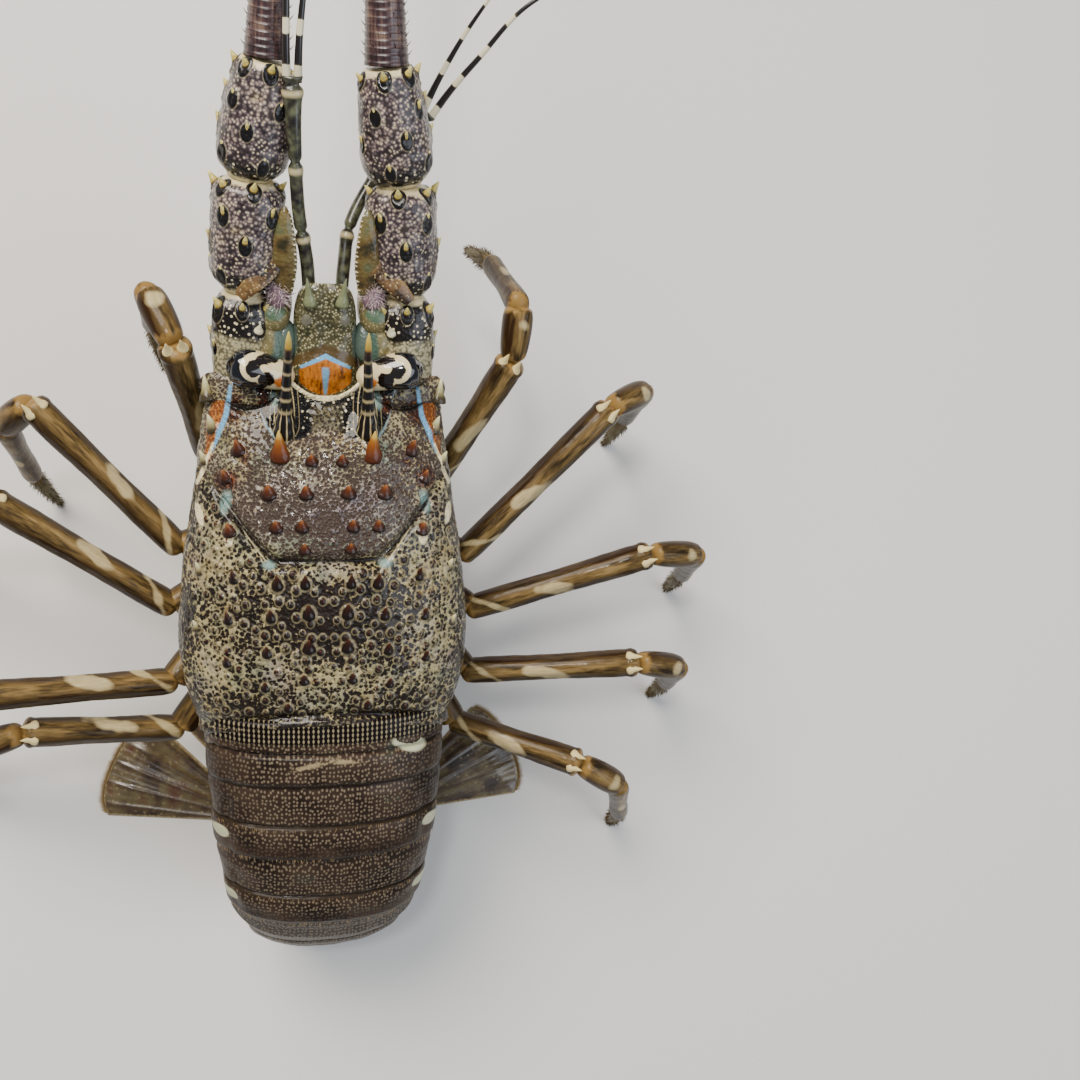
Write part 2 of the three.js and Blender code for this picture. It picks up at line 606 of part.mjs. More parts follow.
function legLower(joints) {
  const [, knee, wrist, ankle, tip] = joints;
  const aim = wrist.clone().sub(knee).normalize();
  const start = knee.clone().sub(joints[0]).normalize().multiplyScalar(gap / 2).add(knee);
  const points = [start, start.clone().addScaledVector(aim, 3), start.clone().lerp(wrist, 0.75),
    wrist.clone().lerp(ankle, 0.08), wrist.clone().lerp(ankle, 0.5),
    wrist.clone().lerp(ankle, 0.94), ankle.clone().lerp(tip, 0.15), ankle.clone().lerp(tip, 0.6),
    tip];
  const sizes = [[3, 3.4], [3.7, 4], [3.5, 3.8], [2.9, 3.4], [2.5, 2.9], [2.6, 2.8], [2.2, 2.4],
    [1.6, 1.7], [0.8, 0.8]];
  return limb(points, sizes, 6).intersect(box([0, 50, 100], [400, 400, 200]));
}

const root = new THREE.Group();
root.name = 'spiny_lobster';
function add(name, solid, material) {
  const mesh = largest(solid).getMesh();
  const geometry = new THREE.BufferGeometry();
  geometry.setAttribute('position', new THREE.BufferAttribute(mesh.vertProperties, mesh.numProp));
  geometry.setIndex([...mesh.triVerts]);
  geometry.computeVertexNormals();
  const node = new THREE.Mesh(geometry, material);
  node.name = name;
  root.add(node);
}

// Assembly.
const both = (make) => Object.fromEntries(
  Object.entries(sides).map(([name, side]) => [name, make(side, name)]),
);
const toWorld = (solid) => placed(solid, bodyPlace);

const overFloor = aboveFloor.translate([0, 0, tail.floorClearance]);
const ring = (i) => placed(tailRing(i), ringPlace(i)).intersect(overFloor);
const ringSeat = (i) => placed(tailRing(i, tail.seat), ringPlace(i));
const telsonSolid = telson();
const outerBlades = both((side) => seated(uropod(side, fan.outer), telsonSolid));
const innerBlades = both((side, name) => seated(uropod(side, fan.inner), telsonSolid,
  outerBlades[name]));
const ringSolids = tail.lengths.map((_, i) => (i < 5 ? ring(i).subtract(ringSeat(i + 1))
  : seated(ring(i), telsonSolid, ...Object.values(outerBlades), ...Object.values(innerBlades))));

const horns = both(horn);
const jointCores = both((side) => [0, 1, 2].map((index) => jointBody(side, index)));
const joints = both((side, name) => jointCores[name].map(
  (core, index) => joined([core, ...thornsOfJoint(side, index)]),
));
const baseCores = Object.values(jointCores).map((list) => list[0]);
const wholeEyes = both(eye);
const eyes = both((_, name) => seated(wholeEyes[name], horns[name]));
const mouthLegs = both(maxilliped);
const stems = both((_, name) => stem(antennules[name].stem));
const outerWhips = both((_, name) => whip(antennules[name].outer));
const innerWhips = both((_, name) => whip(antennules[name].inner));
const wholePlate = frontPlate();
const plate = seated(wholePlate, ...Object.values(wholeEyes), ...Object.values(stems),
  ...Object.values(horns), ...baseCores);
const palate = seated(epistome(), ...baseCores, ...Object.values(mouthLegs), wholePlate);
const shins = both((_, name) => legs[name].map(
  (points) => legLower(points.map((point) => vec(...point))),
));
const thighs = both((side, name) => legs[name].map((points, index) => seated(
  legUpper(side, index, points.map((point) => vec(...point))), shins[name][index],
)));

const orbits = Object.values(sides).map((side) => ball([side * 19, 99, -9], [10.5, 11, 10], 1));
const bodyParts = [...orbits, epistome(), ...Object.values(horns), ...baseCores];
const roots = Object.values(thighs).flat();
const spinyShell = joined([shellBlank(), ...spinesOfShell()]).subtract(
  grown(wholePlate, 2 * gap),
);
add('carapace', seated(toWorld(seated(spinyShell, ...bodyParts)), ...roots)
  .subtract(ringSeat(0)), shellBrown);
add('sternum', seated(toWorld(seated(sternum(), ...Object.values(mouthLegs), palate)), ...roots)
  .subtract(ringSeat(0)), underCream);
add('epistome', toWorld(palate), underCream);
add('antennular_plate', toWorld(plate), plateOlive);
Object.keys(sides).forEach((name) => {
  add(`horn_${name}`, toWorld(horns[name]), hornBlack);
  add(`eye_${name}`, toWorld(eyes[name]), eyeBlack);
  add(`maxilliped_${name}`, toWorld(mouthLegs[name]), legBronze);
  const near = flagellum(sides[name], 0.0015, antenna.split - 0.0008, 10);
  const far = flagellum(sides[name], antenna.split + 0.0008, 1, 10);
  const [base, second, third] = joints[name];
  add(`antenna_base_${name}`, toWorld(seated(base, second, eyes[name])), peduncleGrey);
  add(`antenna_second_${name}`, toWorld(seated(second, third)), peduncleGrey);
  add(`antenna_third_${name}`, seated(toWorld(third), near), peduncleGrey);
  add(`flagellum_near_${name}`, near, antennaPurple);
  add(`flagellum_far_${name}`, far, antennaPurple);
  add(`antennule_stem_${name}`, toWorld(seated(stems[name], outerWhips[name],
    innerWhips[name])), bandedBlack);
  add(`antennule_outer_${name}`, toWorld(outerWhips[name]), bandedBlack);
  add(`antennule_inner_${name}`, toWorld(seated(innerWhips[name], outerWhips[name])),
    bandedBlack);
  add(`uropod_outer_${name}`, outerBlades[name], tailBrown);
  add(`uropod_inner_${name}`, innerBlades[name], tailBrown);
  legs[name].forEach((_, index) => {
    add(`leg_${index + 1}_upper_${name}`, thighs[name][index], legBronze);
    add(`leg_${index + 1}_lower_${name}`, shins[name][index], legBronze);
  });
});
ringSolids.forEach((solid, i) => add(`abdomen_${i + 1}`, solid, tailBrown));
add('telson', telsonSolid, tailBrown);

export default root;
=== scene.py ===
import math
from functools import partial

import bpy
import numpy as np
from mathutils import Matrix, Vector, noise


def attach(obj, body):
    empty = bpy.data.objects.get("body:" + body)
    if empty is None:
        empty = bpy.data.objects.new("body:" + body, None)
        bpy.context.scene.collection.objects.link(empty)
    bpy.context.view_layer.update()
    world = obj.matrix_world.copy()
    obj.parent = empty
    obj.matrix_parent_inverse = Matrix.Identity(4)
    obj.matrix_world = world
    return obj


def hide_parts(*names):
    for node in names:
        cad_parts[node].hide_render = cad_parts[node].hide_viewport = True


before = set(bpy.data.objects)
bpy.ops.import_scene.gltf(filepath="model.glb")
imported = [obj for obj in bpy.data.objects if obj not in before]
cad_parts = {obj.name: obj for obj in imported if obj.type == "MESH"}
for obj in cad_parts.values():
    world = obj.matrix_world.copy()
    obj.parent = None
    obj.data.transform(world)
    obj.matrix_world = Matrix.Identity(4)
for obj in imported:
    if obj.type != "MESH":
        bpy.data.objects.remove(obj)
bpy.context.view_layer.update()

# Everything is worked out in millimetres and turned to metres when a mesh is made.
# The body's own frame has +Y forward and +Z up. The whole body is then tipped nose up.
mm = 0.001
sides = {"left": -1, "right": 1}
dice = np.random.default_rng(8)

posture = {
    "pitch": 16.0, "tailRoot": (0, 8, -18),
    "bends": (3, 8, 18, 50, 88, 126, 164), "lengths": (11, 20.5, 20.5, 18, 16, 18),
    "telsonDrop": 7.0, "originAhead": 18.7,
}


# Curves and closed meshes

def profile(stations, at):
    # smooth values through a few (place, value, value...) stations
    table = np.array(stations, float)
    marks, values = table[:, 0], table[:, 1:]
    at = np.asarray(at, float)
    i = np.clip(np.searchsorted(marks, at, side="right") - 1, 0, len(marks) - 2)
    before, after = np.maximum(i - 1, 0), np.minimum(i + 2, len(marks) - 1)
    span = (marks[i + 1] - marks[i])[..., None]
    t = np.clip((at - marks[i])[..., None] / span, 0, 1)
    slopeA = (values[i + 1] - values[before]) / (marks[i + 1] - marks[before])[..., None] * span
    slopeB = (values[after] - values[i]) / (marks[after] - marks[i])[..., None] * span
    t2, t3 = t * t, t * t * t
    out = ((2 * t3 - 3 * t2 + 1) * values[i] + (t3 - 2 * t2 + t) * slopeA
           + (3 * t2 - 2 * t3) * values[i + 1] + (t3 - t2) * slopeB)
    return out[..., 0] if out.shape[-1] == 1 else out


def curvePoints(points, shares):
    # a centripetal curve through the points, at shares of its run
    knots = np.array(points, float)
    knots = np.vstack([2 * knots[0] - knots[1], knots, 2 * knots[-1] - knots[-2]])
    spans = len(points) - 1
    out = []
    for share in shares:
        i = min(int(share * spans), spans - 1)
        w = share * spans - i
        p0, p1, p2, p3 = knots[i:i + 4]
        d0, d1, d2 = (max(np.linalg.norm(q - p), 1e-6) ** 0.5
                      for p, q in ((p0, p1), (p1, p2), (p2, p3)))
        t1 = ((p1 - p0) / d0 - (p2 - p0) / (d0 + d1) + (p2 - p1) / d1) * d1
        t2 = ((p2 - p1) / d1 - (p3 - p1) / (d1 + d2) + (p3 - p2) / d2) * d1
        out.append(p1 + t1 * w + (-3 * p1 + 3 * p2 - 2 * t1 - t2) * w ** 2
                   + (2 * p1 - 2 * p2 + t1 + t2) * w ** 3)
    return np.array(out)


def runAlong(path):
    return np.concatenate([[0], np.cumsum(np.linalg.norm(np.diff(path, axis=0), axis=1))])


def unit(v):
    v = np.asarray(v, float)
    return v / np.maximum(np.linalg.norm(v, axis=-1, keepdims=True), 1e-9)


def tube(path, halfAcross, halfDeep, around=32, up=(0, 0, 1), square=1.0):
    # rings round a path, with marks: turn 0 is across, a quarter turn is up
    steps = unit(np.diff(path, axis=0))
    ahead = unit(np.vstack([steps[:1], steps]) + np.vstack([steps, steps[-1:]]))
    across = unit(np.cross(ahead, up))
    deep = np.cross(across, ahead)
    turn = np.arange(around) / around * 2 * np.pi
    c, s = np.cos(turn), np.sin(turn)
    c, s = np.sign(c) * abs(c) ** square, np.sign(s) * abs(s) ** square
    halfAcross, halfDeep = np.reshape(halfAcross, (-1, 1)), np.reshape(halfDeep, (-1, 1))
    rings = (path[:, None] + across[:, None] * (c * halfAcross)[..., None]
             + deep[:, None] * (s * halfDeep)[..., None])
    run, girth = runAlong(path)[:, None] + 0 * turn, (halfAcross + halfDeep) / 2
    return rings, {"place": np.stack([girth * c, run, girth * s], -1),
                   "share": run / run[-1], "turn": turn + 0 * run}


def smoothTube(stations, rows, around, up=(0, 0, 1)):
    # stations of x, y, z, half across and perhaps half deep
    table = np.array(stations, float)
    shares = np.linspace(0, 1, rows)
    marks = np.arange(len(table))
    across, deep = (profile(np.column_stack([marks, column]), shares * marks[-1])
                    for column in (table[:, 3], table[:, -1]))
    return tube(curvePoints(table[:, :3], shares), across, deep, around, up)


def mirrored(places, side):
    table = np.array(places, float)
    table[..., 0] *= side
    return table


def normalsOf(rings):
    round_ = np.roll(rings, -1, axis=1) - np.roll(rings, 1, axis=1)
    normal = unit(np.cross(round_, np.gradient(rings, axis=0)))
    inward = np.sum(normal * (rings - rings.mean(axis=1, keepdims=True)), axis=-1).mean() < 0
    return -normal if inward else normal


def raised(rings, height):
    return rings + normalsOf(rings) * height[..., None]


def swollen(rings, scale):
    centre = rings.mean(axis=1, keepdims=True)
    return centre + (rings - centre) * scale[..., None]


def allOver(rings, value):
    return np.full(rings.shape[:2], value)


def bell(away, width):
    return np.exp(-(away / width) ** 2)


def closed(rings, marks):
    # one closed part from rings of points, with a fan at either end
    rows, around, _ = rings.shape
    points = np.vstack([rings.reshape(-1, 3), rings[0].mean(axis=0), rings[-1].mean(axis=0)])
    r, c = np.meshgrid(np.arange(rows - 1), np.arange(around), indexing="ij")
    a, b = r * around + c, r * around + (c + 1) % around
    quads = np.stack([a, b, b + around, a + around], -1).reshape(-1, 4)
    i = np.arange(around)
    j = (i + 1) % around
    top, last = (rows - 1) * around, rows * around
    tris = np.vstack([np.stack([np.full(around, last), j, i], -1),
                      np.stack([np.full(around, last + 1), top + i, top + j], -1)])
    normal = np.cross(rings[1, 1] - rings[0, 0], rings[1, 0] - rings[0, 1])
    mid = rings[:2, :2].mean(axis=(0, 1)) - rings[:2].mean(axis=(0, 1))
    if np.dot(normal, mid) > 0:
        quads, tris = quads[:, ::-1], tris[:, ::-1]
    kept = {}
    for name, values in marks.items():
        flat = np.asarray(values, float).reshape((rows * around,) + np.shape(values)[2:])
        kept[name] = np.concatenate([flat, [flat[:around].mean(axis=0),
                                            flat[-around:].mean(axis=0)]])
    return {"points": points, "quads": quads, "tris": tris, "marks": kept}


def withMarks(part, **marks):
    # the same part with further values that hold all over it
    for name, value in marks.items():
        part["marks"][name] = np.full(len(part["points"]), float(value))
    return part


def thorn(foot, aim, length, radius, around=12, rows=9, **marks):
    # a spine with a flared root, its foot sunk below the surface
    foot, aim = np.array(foot, float), unit(aim)
    t = np.linspace(-0.3, 1, rows)
    width = radius * (np.maximum(1 - t, 0) ** 0.8 + 0.35 * np.exp(-np.maximum(t, 0) * 10)) + 0.03
    path = foot + aim * (t * length)[:, None]
    up = (0, 0, 1) if abs(aim[2]) < 0.9 else (0, 1, 0)
    rings, info = tube(path, width, width, around, up)
    tip = np.broadcast_to(np.clip(t, 0, 1)[:, None], (rows, around))
    return withMarks(closed(rings, {"place": info["place"], "tip": tip}), thorn=1, **marks)


def bristles(feet, aims, lengths, radius, sag=0.25, **marks):
    # many fine hairs in one part, each of three sides and two lengths
    aims = unit(aims)
    lengths = np.broadcast_to(lengths, len(feet))
    up = np.where(abs(aims[:, 2:]) < 0.9, [[0, 0, 1.0]], [[0, 1.0, 0]])
    across = unit(np.cross(aims, up))
    deep = np.cross(across, aims)
    points = []
    for t, thick in ((0, 1.0), (0.55, 0.7), (1, 0.12)):
        centre = feet + aims * (lengths * t)[:, None] - [0, 0, 1] * (lengths * sag * t * t)[:, None]
        for turn in np.arange(3) / 3 * 2 * math.pi:
            points.append(centre + (across * math.cos(turn) + deep * math.sin(turn))
                          * radius * thick)
    base = (np.arange(len(feet)) * 9)[:, None, None]
    sheath = [[row + k, row + k + 3, row + (k + 1) % 3 + 3, row + (k + 1) % 3]
              for row in (0, 3) for k in range(3)]
    part = {"points": np.stack(points, axis=1).reshape(-1, 3),
            "quads": (base + np.array(sheath)).reshape(-1, 4),
            "tris": (base + np.array([[0, 1, 2], [6, 8, 7]])).reshape(-1, 3),
            "marks": {"tip": np.tile(np.repeat([0, 0.55, 1], 3), len(feet))}}
    return withMarks(part, **marks)


def blob(centre, radii, rows, around, **marks):
    # a closed ellipsoid, its poles along Y
    phi = np.linspace(0.04, math.pi - 0.04, rows)[:, None]
    turn = np.arange(around) / around * 2 * np.pi
    shape = np.stack([np.sin(phi) * np.cos(turn), np.cos(phi) + 0 * turn,
                      np.sin(phi) * np.sin(turn)], -1)
    rings = np.array(centre) + shape * radii
    return withMarks(closed(rings, {"place": rings}), **marks)


# Places in the world

def turnX(degrees):
    c, s = math.cos(math.radians(degrees)), math.sin(math.radians(degrees))
    return np.array([[1, 0, 0], [0, c, -s], [0, s, c]])


hinges = [np.array(posture["tailRoot"], float)]
for bend, length in zip(posture["bends"], posture["lengths"]):
    hinges.append(hinges[-1] + turnX(bend) @ [0, -length, 0])
telsonHinge = turnX(posture["pitch"]) @ hinges[-1]
bodyAt = np.array([0, -telsonHinge[1] - posture["originAhead"],
                   posture["telsonDrop"] - telsonHinge[2]])


def toWorld(points):
    return np.asarray(points, float) @ turnX(posture["pitch"]).T + bodyAt


def fromRing(points, i):
    return toWorld(np.asarray(points, float) @ turnX(posture["bends"][i]).T + hinges[i])


def placed(parts, move=toWorld):
    for part in parts:
        part["points"] = move(part["points"])
    return parts


def keptAbove(parts, floor=0.0):
    for part in parts:
        part["points"][:, 2] = np.maximum(part["points"][:, 2], floor)
    return parts


fanRoot = toWorld(hinges[-1])


# Objects and finishes

def linear(hexColour):
    # sRGB hex to the linear values that the shaders use
    parts = [int(hexColour[i:i + 2], 16) / 255 for i in (1, 3, 5)]
    return [c / 12.92 if c <= 0.04045 else ((c + 0.055) / 1.055) ** 2.4 for c in parts] + [1]


# these marks are nought where a part has none; every other mark is then well outside
noughtMarks = ("tip", "thorn", "hair", "chalk", "share", "stem", "front", "place", "netPale",
               "grey", "greenish")


def buildPiece(name, parts, material, node):
    # one object from closed parts in world millimetres, with every mark its finish reads
    points = np.vstack([p["points"] for p in parts]) * mm
    starts = np.cumsum([0] + [len(p["points"]) for p in parts])
    quads, tris = (np.vstack([p[kind] + s for p, s in zip(parts, starts)])
                   for kind in ("quads", "tris"))
    mesh = bpy.data.meshes.new(name)
    mesh.vertices.add(len(points))
    mesh.vertices.foreach_set("co", points.ravel())
    mesh.loops.add(quads.size + tris.size)
    mesh.loops.foreach_set("vertex_index", np.concatenate([quads.ravel(), tris.ravel()]))
    mesh.polygons.add(len(quads) + len(tris))
    mesh.polygons.foreach_set("loop_start", np.concatenate(
        [np.arange(len(quads)) * 4, quads.size + np.arange(len(tris)) * 3]))
    for key in sorted({n.attribute_name for n in material.node_tree.nodes
                       if n.type == "ATTRIBUTE"}):
        width, kind, field = ((3, "FLOAT_VECTOR", "vector") if key == "place"
                              else (1, "FLOAT", "value"))
        blank = 0.0 if key in noughtMarks else -9.0
        values = [np.reshape(p["marks"].get(key, np.full((len(p["points"]), width), blank)),
                             (-1, width)) for p in parts]
        mesh.attributes.new(key, kind, "POINT").data.foreach_set(field, np.vstack(values).ravel())
    mesh.update(calc_edges=True)
    mesh.shade_smooth()
    mesh.materials.append(material)
    piece = bpy.data.objects.new(name, mesh)
    bpy.context.scene.collection.objects.link(piece)
    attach(piece, "root")
    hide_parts(node)


def addNode(tree, kind, sockets=(), stops=None, out=0, **settings):
    # adds a node with its settings, ramp stops, values and links; gives the output in use
    made = tree.nodes.new("ShaderNode" + kind)
    for key, value in settings.items():
        setattr(made, key, value)
    for key, value in (sockets if isinstance(sockets, dict) else dict(enumerate(sockets))).items():
        if isinstance(value, bpy.types.NodeSocket):
            tree.links.new(value, made.inputs[key])
        else:
            made.inputs[key].default_value = linear(value) if isinstance(value, str) else value
    for i, (at, colour) in enumerate((stops or {}).items()):
        ramp = made.color_ramp.elements
        stop = ramp[i] if i < 2 else ramp.new(at)
        stop.position, stop.color = at, linear(colour)
    return made.outputs[out] if made.outputs else None


def startFinish(name, *markNames):
    # an empty material, the function that adds to it, and the marks it reads from the mesh
    material = bpy.data.materials.new(name)
    material.use_nodes = True
    material.node_tree.nodes.clear()
    add = partial(addNode, material.node_tree)
    return material, add, *(add("Attribute", out="Vector" if mark == "place" else "Fac",
                                attribute_name=mark) for mark in markNames)


def endFinish(add, colour, **values):
    # the shader and the output, with fixed values on the shader's own sockets
    sockets = {key.replace("_", " "): value for key, value in values.items()}
    add("OutputMaterial", [add("BsdfPrincipled", {"Base Color": colour, **sockets})])


def layered(add, colour, layers):
    # lays each colour over what is below, by its mark on the mesh: a mark with a width is an
    # outline, above zero inside and made uneven by the wobble, and one without is the share
    for name, tone, *edge in layers:
        share = add("Attribute", out="Fac", attribute_name=name)
        if edge[1:]:
            share = add("Math", [share, edge[1]], operation="ADD")
        if edge:
            share = add("MapRange", [share, -edge[0], edge[0]])
        colour = add("MixRGB", [share, colour, tone])
    return colour


# Fields that place a mark on the shell: above zero inside it, in millimetres

def strokeField(x, y, *stations):
    # a line through stations of x, y and half its width
    best = np.full(np.shape(x), -9.0)
    for (ax, ay, ha), (bx, by, hb) in zip(stations, stations[1:]):
        t = np.clip(((x - ax) * (bx - ax) + (y - ay) * (by - ay))
                    / max((bx - ax) ** 2 + (by - ay) ** 2, 1e-6), 0, 1)
        away = np.hypot(x - ax - t * (bx - ax), y - ay - t * (by - ay))
        best = np.maximum(best, ha + (hb - ha) * t - away)
    return best


def ovalField(x, y, *ovals):
    # ovals of x, y, the two half widths and a tilt
    best = np.full(np.shape(x), -np.inf)
    for cx, cy, rx, ry, tilt in ovals:
        c, s = math.cos(math.radians(tilt)), math.sin(math.radians(tilt))
        u, v = ((x - cx) * c + (y - cy) * s) / rx, (-(x - cx) * s + (y - cy) * c) / ry
        best = np.maximum(best, (1 - np.hypot(u, v)) * min(rx, ry))
    return best


def smoothStep(low, high, value):
    t = np.clip((np.asarray(value) - low) / (high - low), 0, 1)
    return t * t * (3 - 2 * t)


def hillNoise(points, size):
    # soft noise at each point, sized in millimetres
    out = [noise.fractal(p, 1.0, 2.0, 3) for p in np.reshape(points, (-1, 3)) / size]
    return np.reshape(out, np.shape(points)[:-1])


def grainNoise(points, size):
    # distance to the nearest grain's middle, as a share of the grain's size
    out = [noise.voronoi(p)[0][0] for p in np.reshape(points, (-1, 3)) / size]
    return np.reshape(out, np.shape(points)[:-1])


print("Stage: helpers are ready")


# Carapace, in the body's frame: the same shape as the solid, with grains, thorns and pits.
carapace = {
    "front": 91, "rear": 8.5, "mid": -19, "margin": -36, "grooveY": 53, "grooveRise": 24,
    "grooveDepth": 2.2,
    "width": [(6, 30.5), (10, 32), (20, 35), (30, 36), (40, 35.5), (50, 34.4), (60, 33),
              (70, 31.3), (80, 29.9), (91, 28.2)],
    "top": [(6, -7), (10, -4.2), (20, -1.5), (30, -0.2), (40, 0.4), (50, 0), (60, -0.8),
            (70, -2.6), (80, -5.2), (91, -10)],
    "rows": 240, "acrossTop": 300, "acrossUnder": 26,
    "grain": 1.25, "grainHeight": 0.3, "orbit": ((19, 99, -9), (10.5, 11, 10)),
    # distance forward, distance out, length, radius
    "thorns": [
        (79, 10.8, 6, 1.8), (77, 3.6, 2.6, 0.85), (79.3, 20.5, 4, 1), (72.6, 23.6, 3, 0.9),
        (69.7, 5, 3, 1), (69.6, 13.6, 3.2, 1.1), (61.7, 12, 2.6, 0.9), (61.9, 6, 2.6, 0.9),
        (56.5, 5.4, 2.4, 0.8), (60.3, 22.8, 3, 1), (48, 11.9, 3, 1), (48.2, 5.4, 2.8, 0.9),
        (41, 4.6, 3, 1.1), (40, 13.5, 2.6, 0.9), (32.4, 4.6, 2.8, 1.1), (31, 14.5, 2.4, 0.9),
        (24, 5.8, 2, 0.9), (22, 15, 2, 0.8), (16.5, 9.6, 1.8, 0.8), (49, 22, 2.6, 0.9),
        (39, 23.5, 2.4, 0.9), (28, 24, 2.2, 0.8), (50, 30, 2.4, 0.9), (36, 31, 2.2, 0.8),
        (84, 26.5, 3.4, 1.2), (76, 28.5, 2.6, 1)],
    "cornerThorn": ((27.7, 91.4, -15.4), (0.14, 1, 0.12), 4.8, 1.35),
    # the ledge under each eye: out, forward, up, half its width and half its thickness
    "ledge": [(11.5, 91.2, -11.9, 1.6, 0.7), (15, 91.6, -12.2, 2.6, 0.8),
              (19, 92, -12.8, 3.0, 0.9), (23, 92.8, -13.8, 3.6, 1.1),
              (26.5, 93, -15.6, 3.4, 1.3), (28.2, 92, -18, 2.2, 1.2)],
    "tubercles": 95,
    # lower edge of the black zone behind the rim: distance out, distance forward
    "blackEdge": [(0, 84.6), (3.4, 83.4), (5, 82.4), (8, 81.8), (11, 81.9), (13.2, 83.8),
                  (15.2, 87.6), (16.4, 93)],
}


def grooveLine(x):
    return carapace["grooveY"] + carapace["grooveRise"] * np.maximum(0, (abs(x) - 12) / 20) ** 1.2


def rearSweep(x):
    return -4 * (x / 30) ** 2


def shellPoint(turn, y):
    turn, y = np.broadcast_arrays(np.asarray(turn, float), np.asarray(y, float))
    half, top = profile(carapace["width"], y), profile(carapace["top"], y)
    upper = abs(turn) <= math.pi / 2 + 1e-9
    x = np.sign(turn) * half * abs(np.sin(turn)) ** np.where(upper, 0.9, 0.35)
    neck = carapace["grooveDepth"] * bell(y - grooveLine(x), 1.5)
    hind = 1.3 * bell(y - rearSweep(x) - 14, 1.1)
    sink = np.where(upper, (neck + hind) * np.maximum(np.cos(turn), 0) ** 0.5, 0)
    depth = np.where(upper, top - sink - carapace["mid"], 22)
    lift = np.sign(np.cos(turn)) * abs(np.cos(turn)) ** 0.9
    return np.stack([x * (1 - sink / 60), y, carapace["mid"] + depth * lift], -1)


def shellGrid():
    over = np.radians(np.linspace(-90, 90, carapace["acrossTop"]))
    under = np.radians(np.linspace(92, 150, carapace["acrossUnder"]))
    turns = np.concatenate([-under[::-1], over, under])
    row = np.linspace(carapace["rear"], carapace["front"], carapace["rows"])[:, None]
    x = 33 * np.sin(turns)
    groove, rear, front = carapace["grooveY"], carapace["rear"], carapace["front"]
    share = np.where(row < groove, (row - rear) / (groove - rear),
                     (front - row) / (front - groove))
    rise = np.where(abs(turns) < math.pi / 2, grooveLine(x), grooveLine(33.0)) - groove
    sweep = np.where(row < groove, rearSweep(x) * (1 - share), 0)
    nose = 3.6 * smoothStep(0.12, 0, share) * np.clip(abs(x) / 8, 0, 1) ** 2 * (
        1 - smoothStep(9, 13, abs(x))) * (row > groove) * (abs(turns) < math.pi / 2)
    rings = shellPoint(turns, row + rise * share + sweep + nose)
    return rings, turns + 0 * row


def shellSpot(x, y):
    turn = math.asin(min(1, (x / float(profile(carapace["width"], y))) ** (1 / 0.9)))
    point = shellPoint(turn, y)
    normal = np.cross(shellPoint(turn + 0.02, y) - point, shellPoint(turn, y + 0.5) - point)
    return point, unit(normal)


def shellMarks(points, turns):
    x, y = abs(points[..., 0]), points[..., 1]
    lower, groove = profile(carapace["blackEdge"], x), grooveLine(x)
    outlines = {
        "black": np.where(x < 17.5, y - lower, -9),
        "cream": np.maximum.reduce([
            np.where(x < 8.6, y - (90.4 + 3.6 * (x / 8) ** 2), -9),
            strokeField(x, y, (14.4, 53.2, 0.12), (17.4, 57, 0.1), (20.4, 61, 0.02)),
            strokeField(x, y, (26.5, 80, 0.3), (28.6, 74, 0.5), (30.6, 70, 0.4)),
            ovalField(x, y, (30, 63, 1.0, 2.6, -15), (23, 58.2, 1.1, 2.0, 10))]),
        "orange": strokeField(x, y, (24.2, 93, 1.4), (25.2, 87, 1.9), (26.6, 81.5, 1.5),
                              (28, 76, 0.4)),
        "blue": strokeField(x, y, (22.2, 93.5, 0.4), (23.2, 87, 0.6), (25.0, 82.5, 0.5),
                            (26.8, 78, 0.2)),
        "seam": np.where((x > 11.6) & (x < 16.8), 0.3 - abs(y - lower + 0.3) * 0.7, -9),
        "rust": ovalField(x, y, (21.5, 88.3, 1.7, 3.2, 8), (19.6, 78, 0.9, 3.4, -18),
                          (23.8, 72, 2.6, 2.4, 0), (14.4, 90, 1.2, 2.2, 0)),
        # painted highlights: bluish ovals on the edges of the neck groove and near the front rim
        "bluish": ovalField(x, y, (12.4, 90.4, 0.9, 1.6, 10), (23.6, 66.8, 1.1, 2.6, 12),
                            (13.7, 52.4, 1.4, 0.9, 0)),
        # painted shade: near-black along the neck groove, where the front part overhangs it
        "furrow": np.where(x < 26, 0.5 - abs(y - groove), -9),
        "midField": np.minimum(3.3 - x, 89.2 - y),
        "rim": 12.6 + rearSweep(x) - y,
    }
    upper = abs(turns) <= math.pi / 2
    marks = {name: np.where(upper, field, -9) for name, field in outlines.items()}
    return marks | {
        "behind": smoothStep(1, -1, y - groove),
        "hornAway": np.where(upper, np.hypot(x - 9.7, (y - 85) * np.where(y > 85, 0.2, 0.9)), 99),
        # how pale the net between the grains is, and how green or grey
        "netPale": np.clip(
            0.34 + 0.14 * smoothStep(17, 24, x) * smoothStep(66, 56, y)
            - 0.25 * smoothStep(29, 35, x) + 0.16 * bell(y - 24, 6) * smoothStep(24, 6, x)
            - 0.14 * smoothStep(24, 15, y) - 0.34 * bell(np.hypot((y - 40) / 10, x / 15), 1)
            - 0.16 * bell(np.hypot((y - 66) / 9, x / 18), 1)
            + 0.3 * bell(np.hypot((y - 51) / 2.6, x / 7), 1) + 0.2 * hillNoise(points, 9),
            0.03, 1),
        "grey": np.clip(0.9 * bell(np.hypot((y - 66) / 10, x / 17), 1)
                        + 0.5 * hillNoise(points + 40, 7), 0, 1),
        "greenish": np.clip(0.8 * bell(np.hypot((y - 58) / 3.2, x / 15), 1)
                            + 0.7 * bell(np.hypot((y - 78) / 4, (x - 14) / 4), 1)
                            + 0.5 * hillNoise(points - 30, 6), 0, 1),
    }


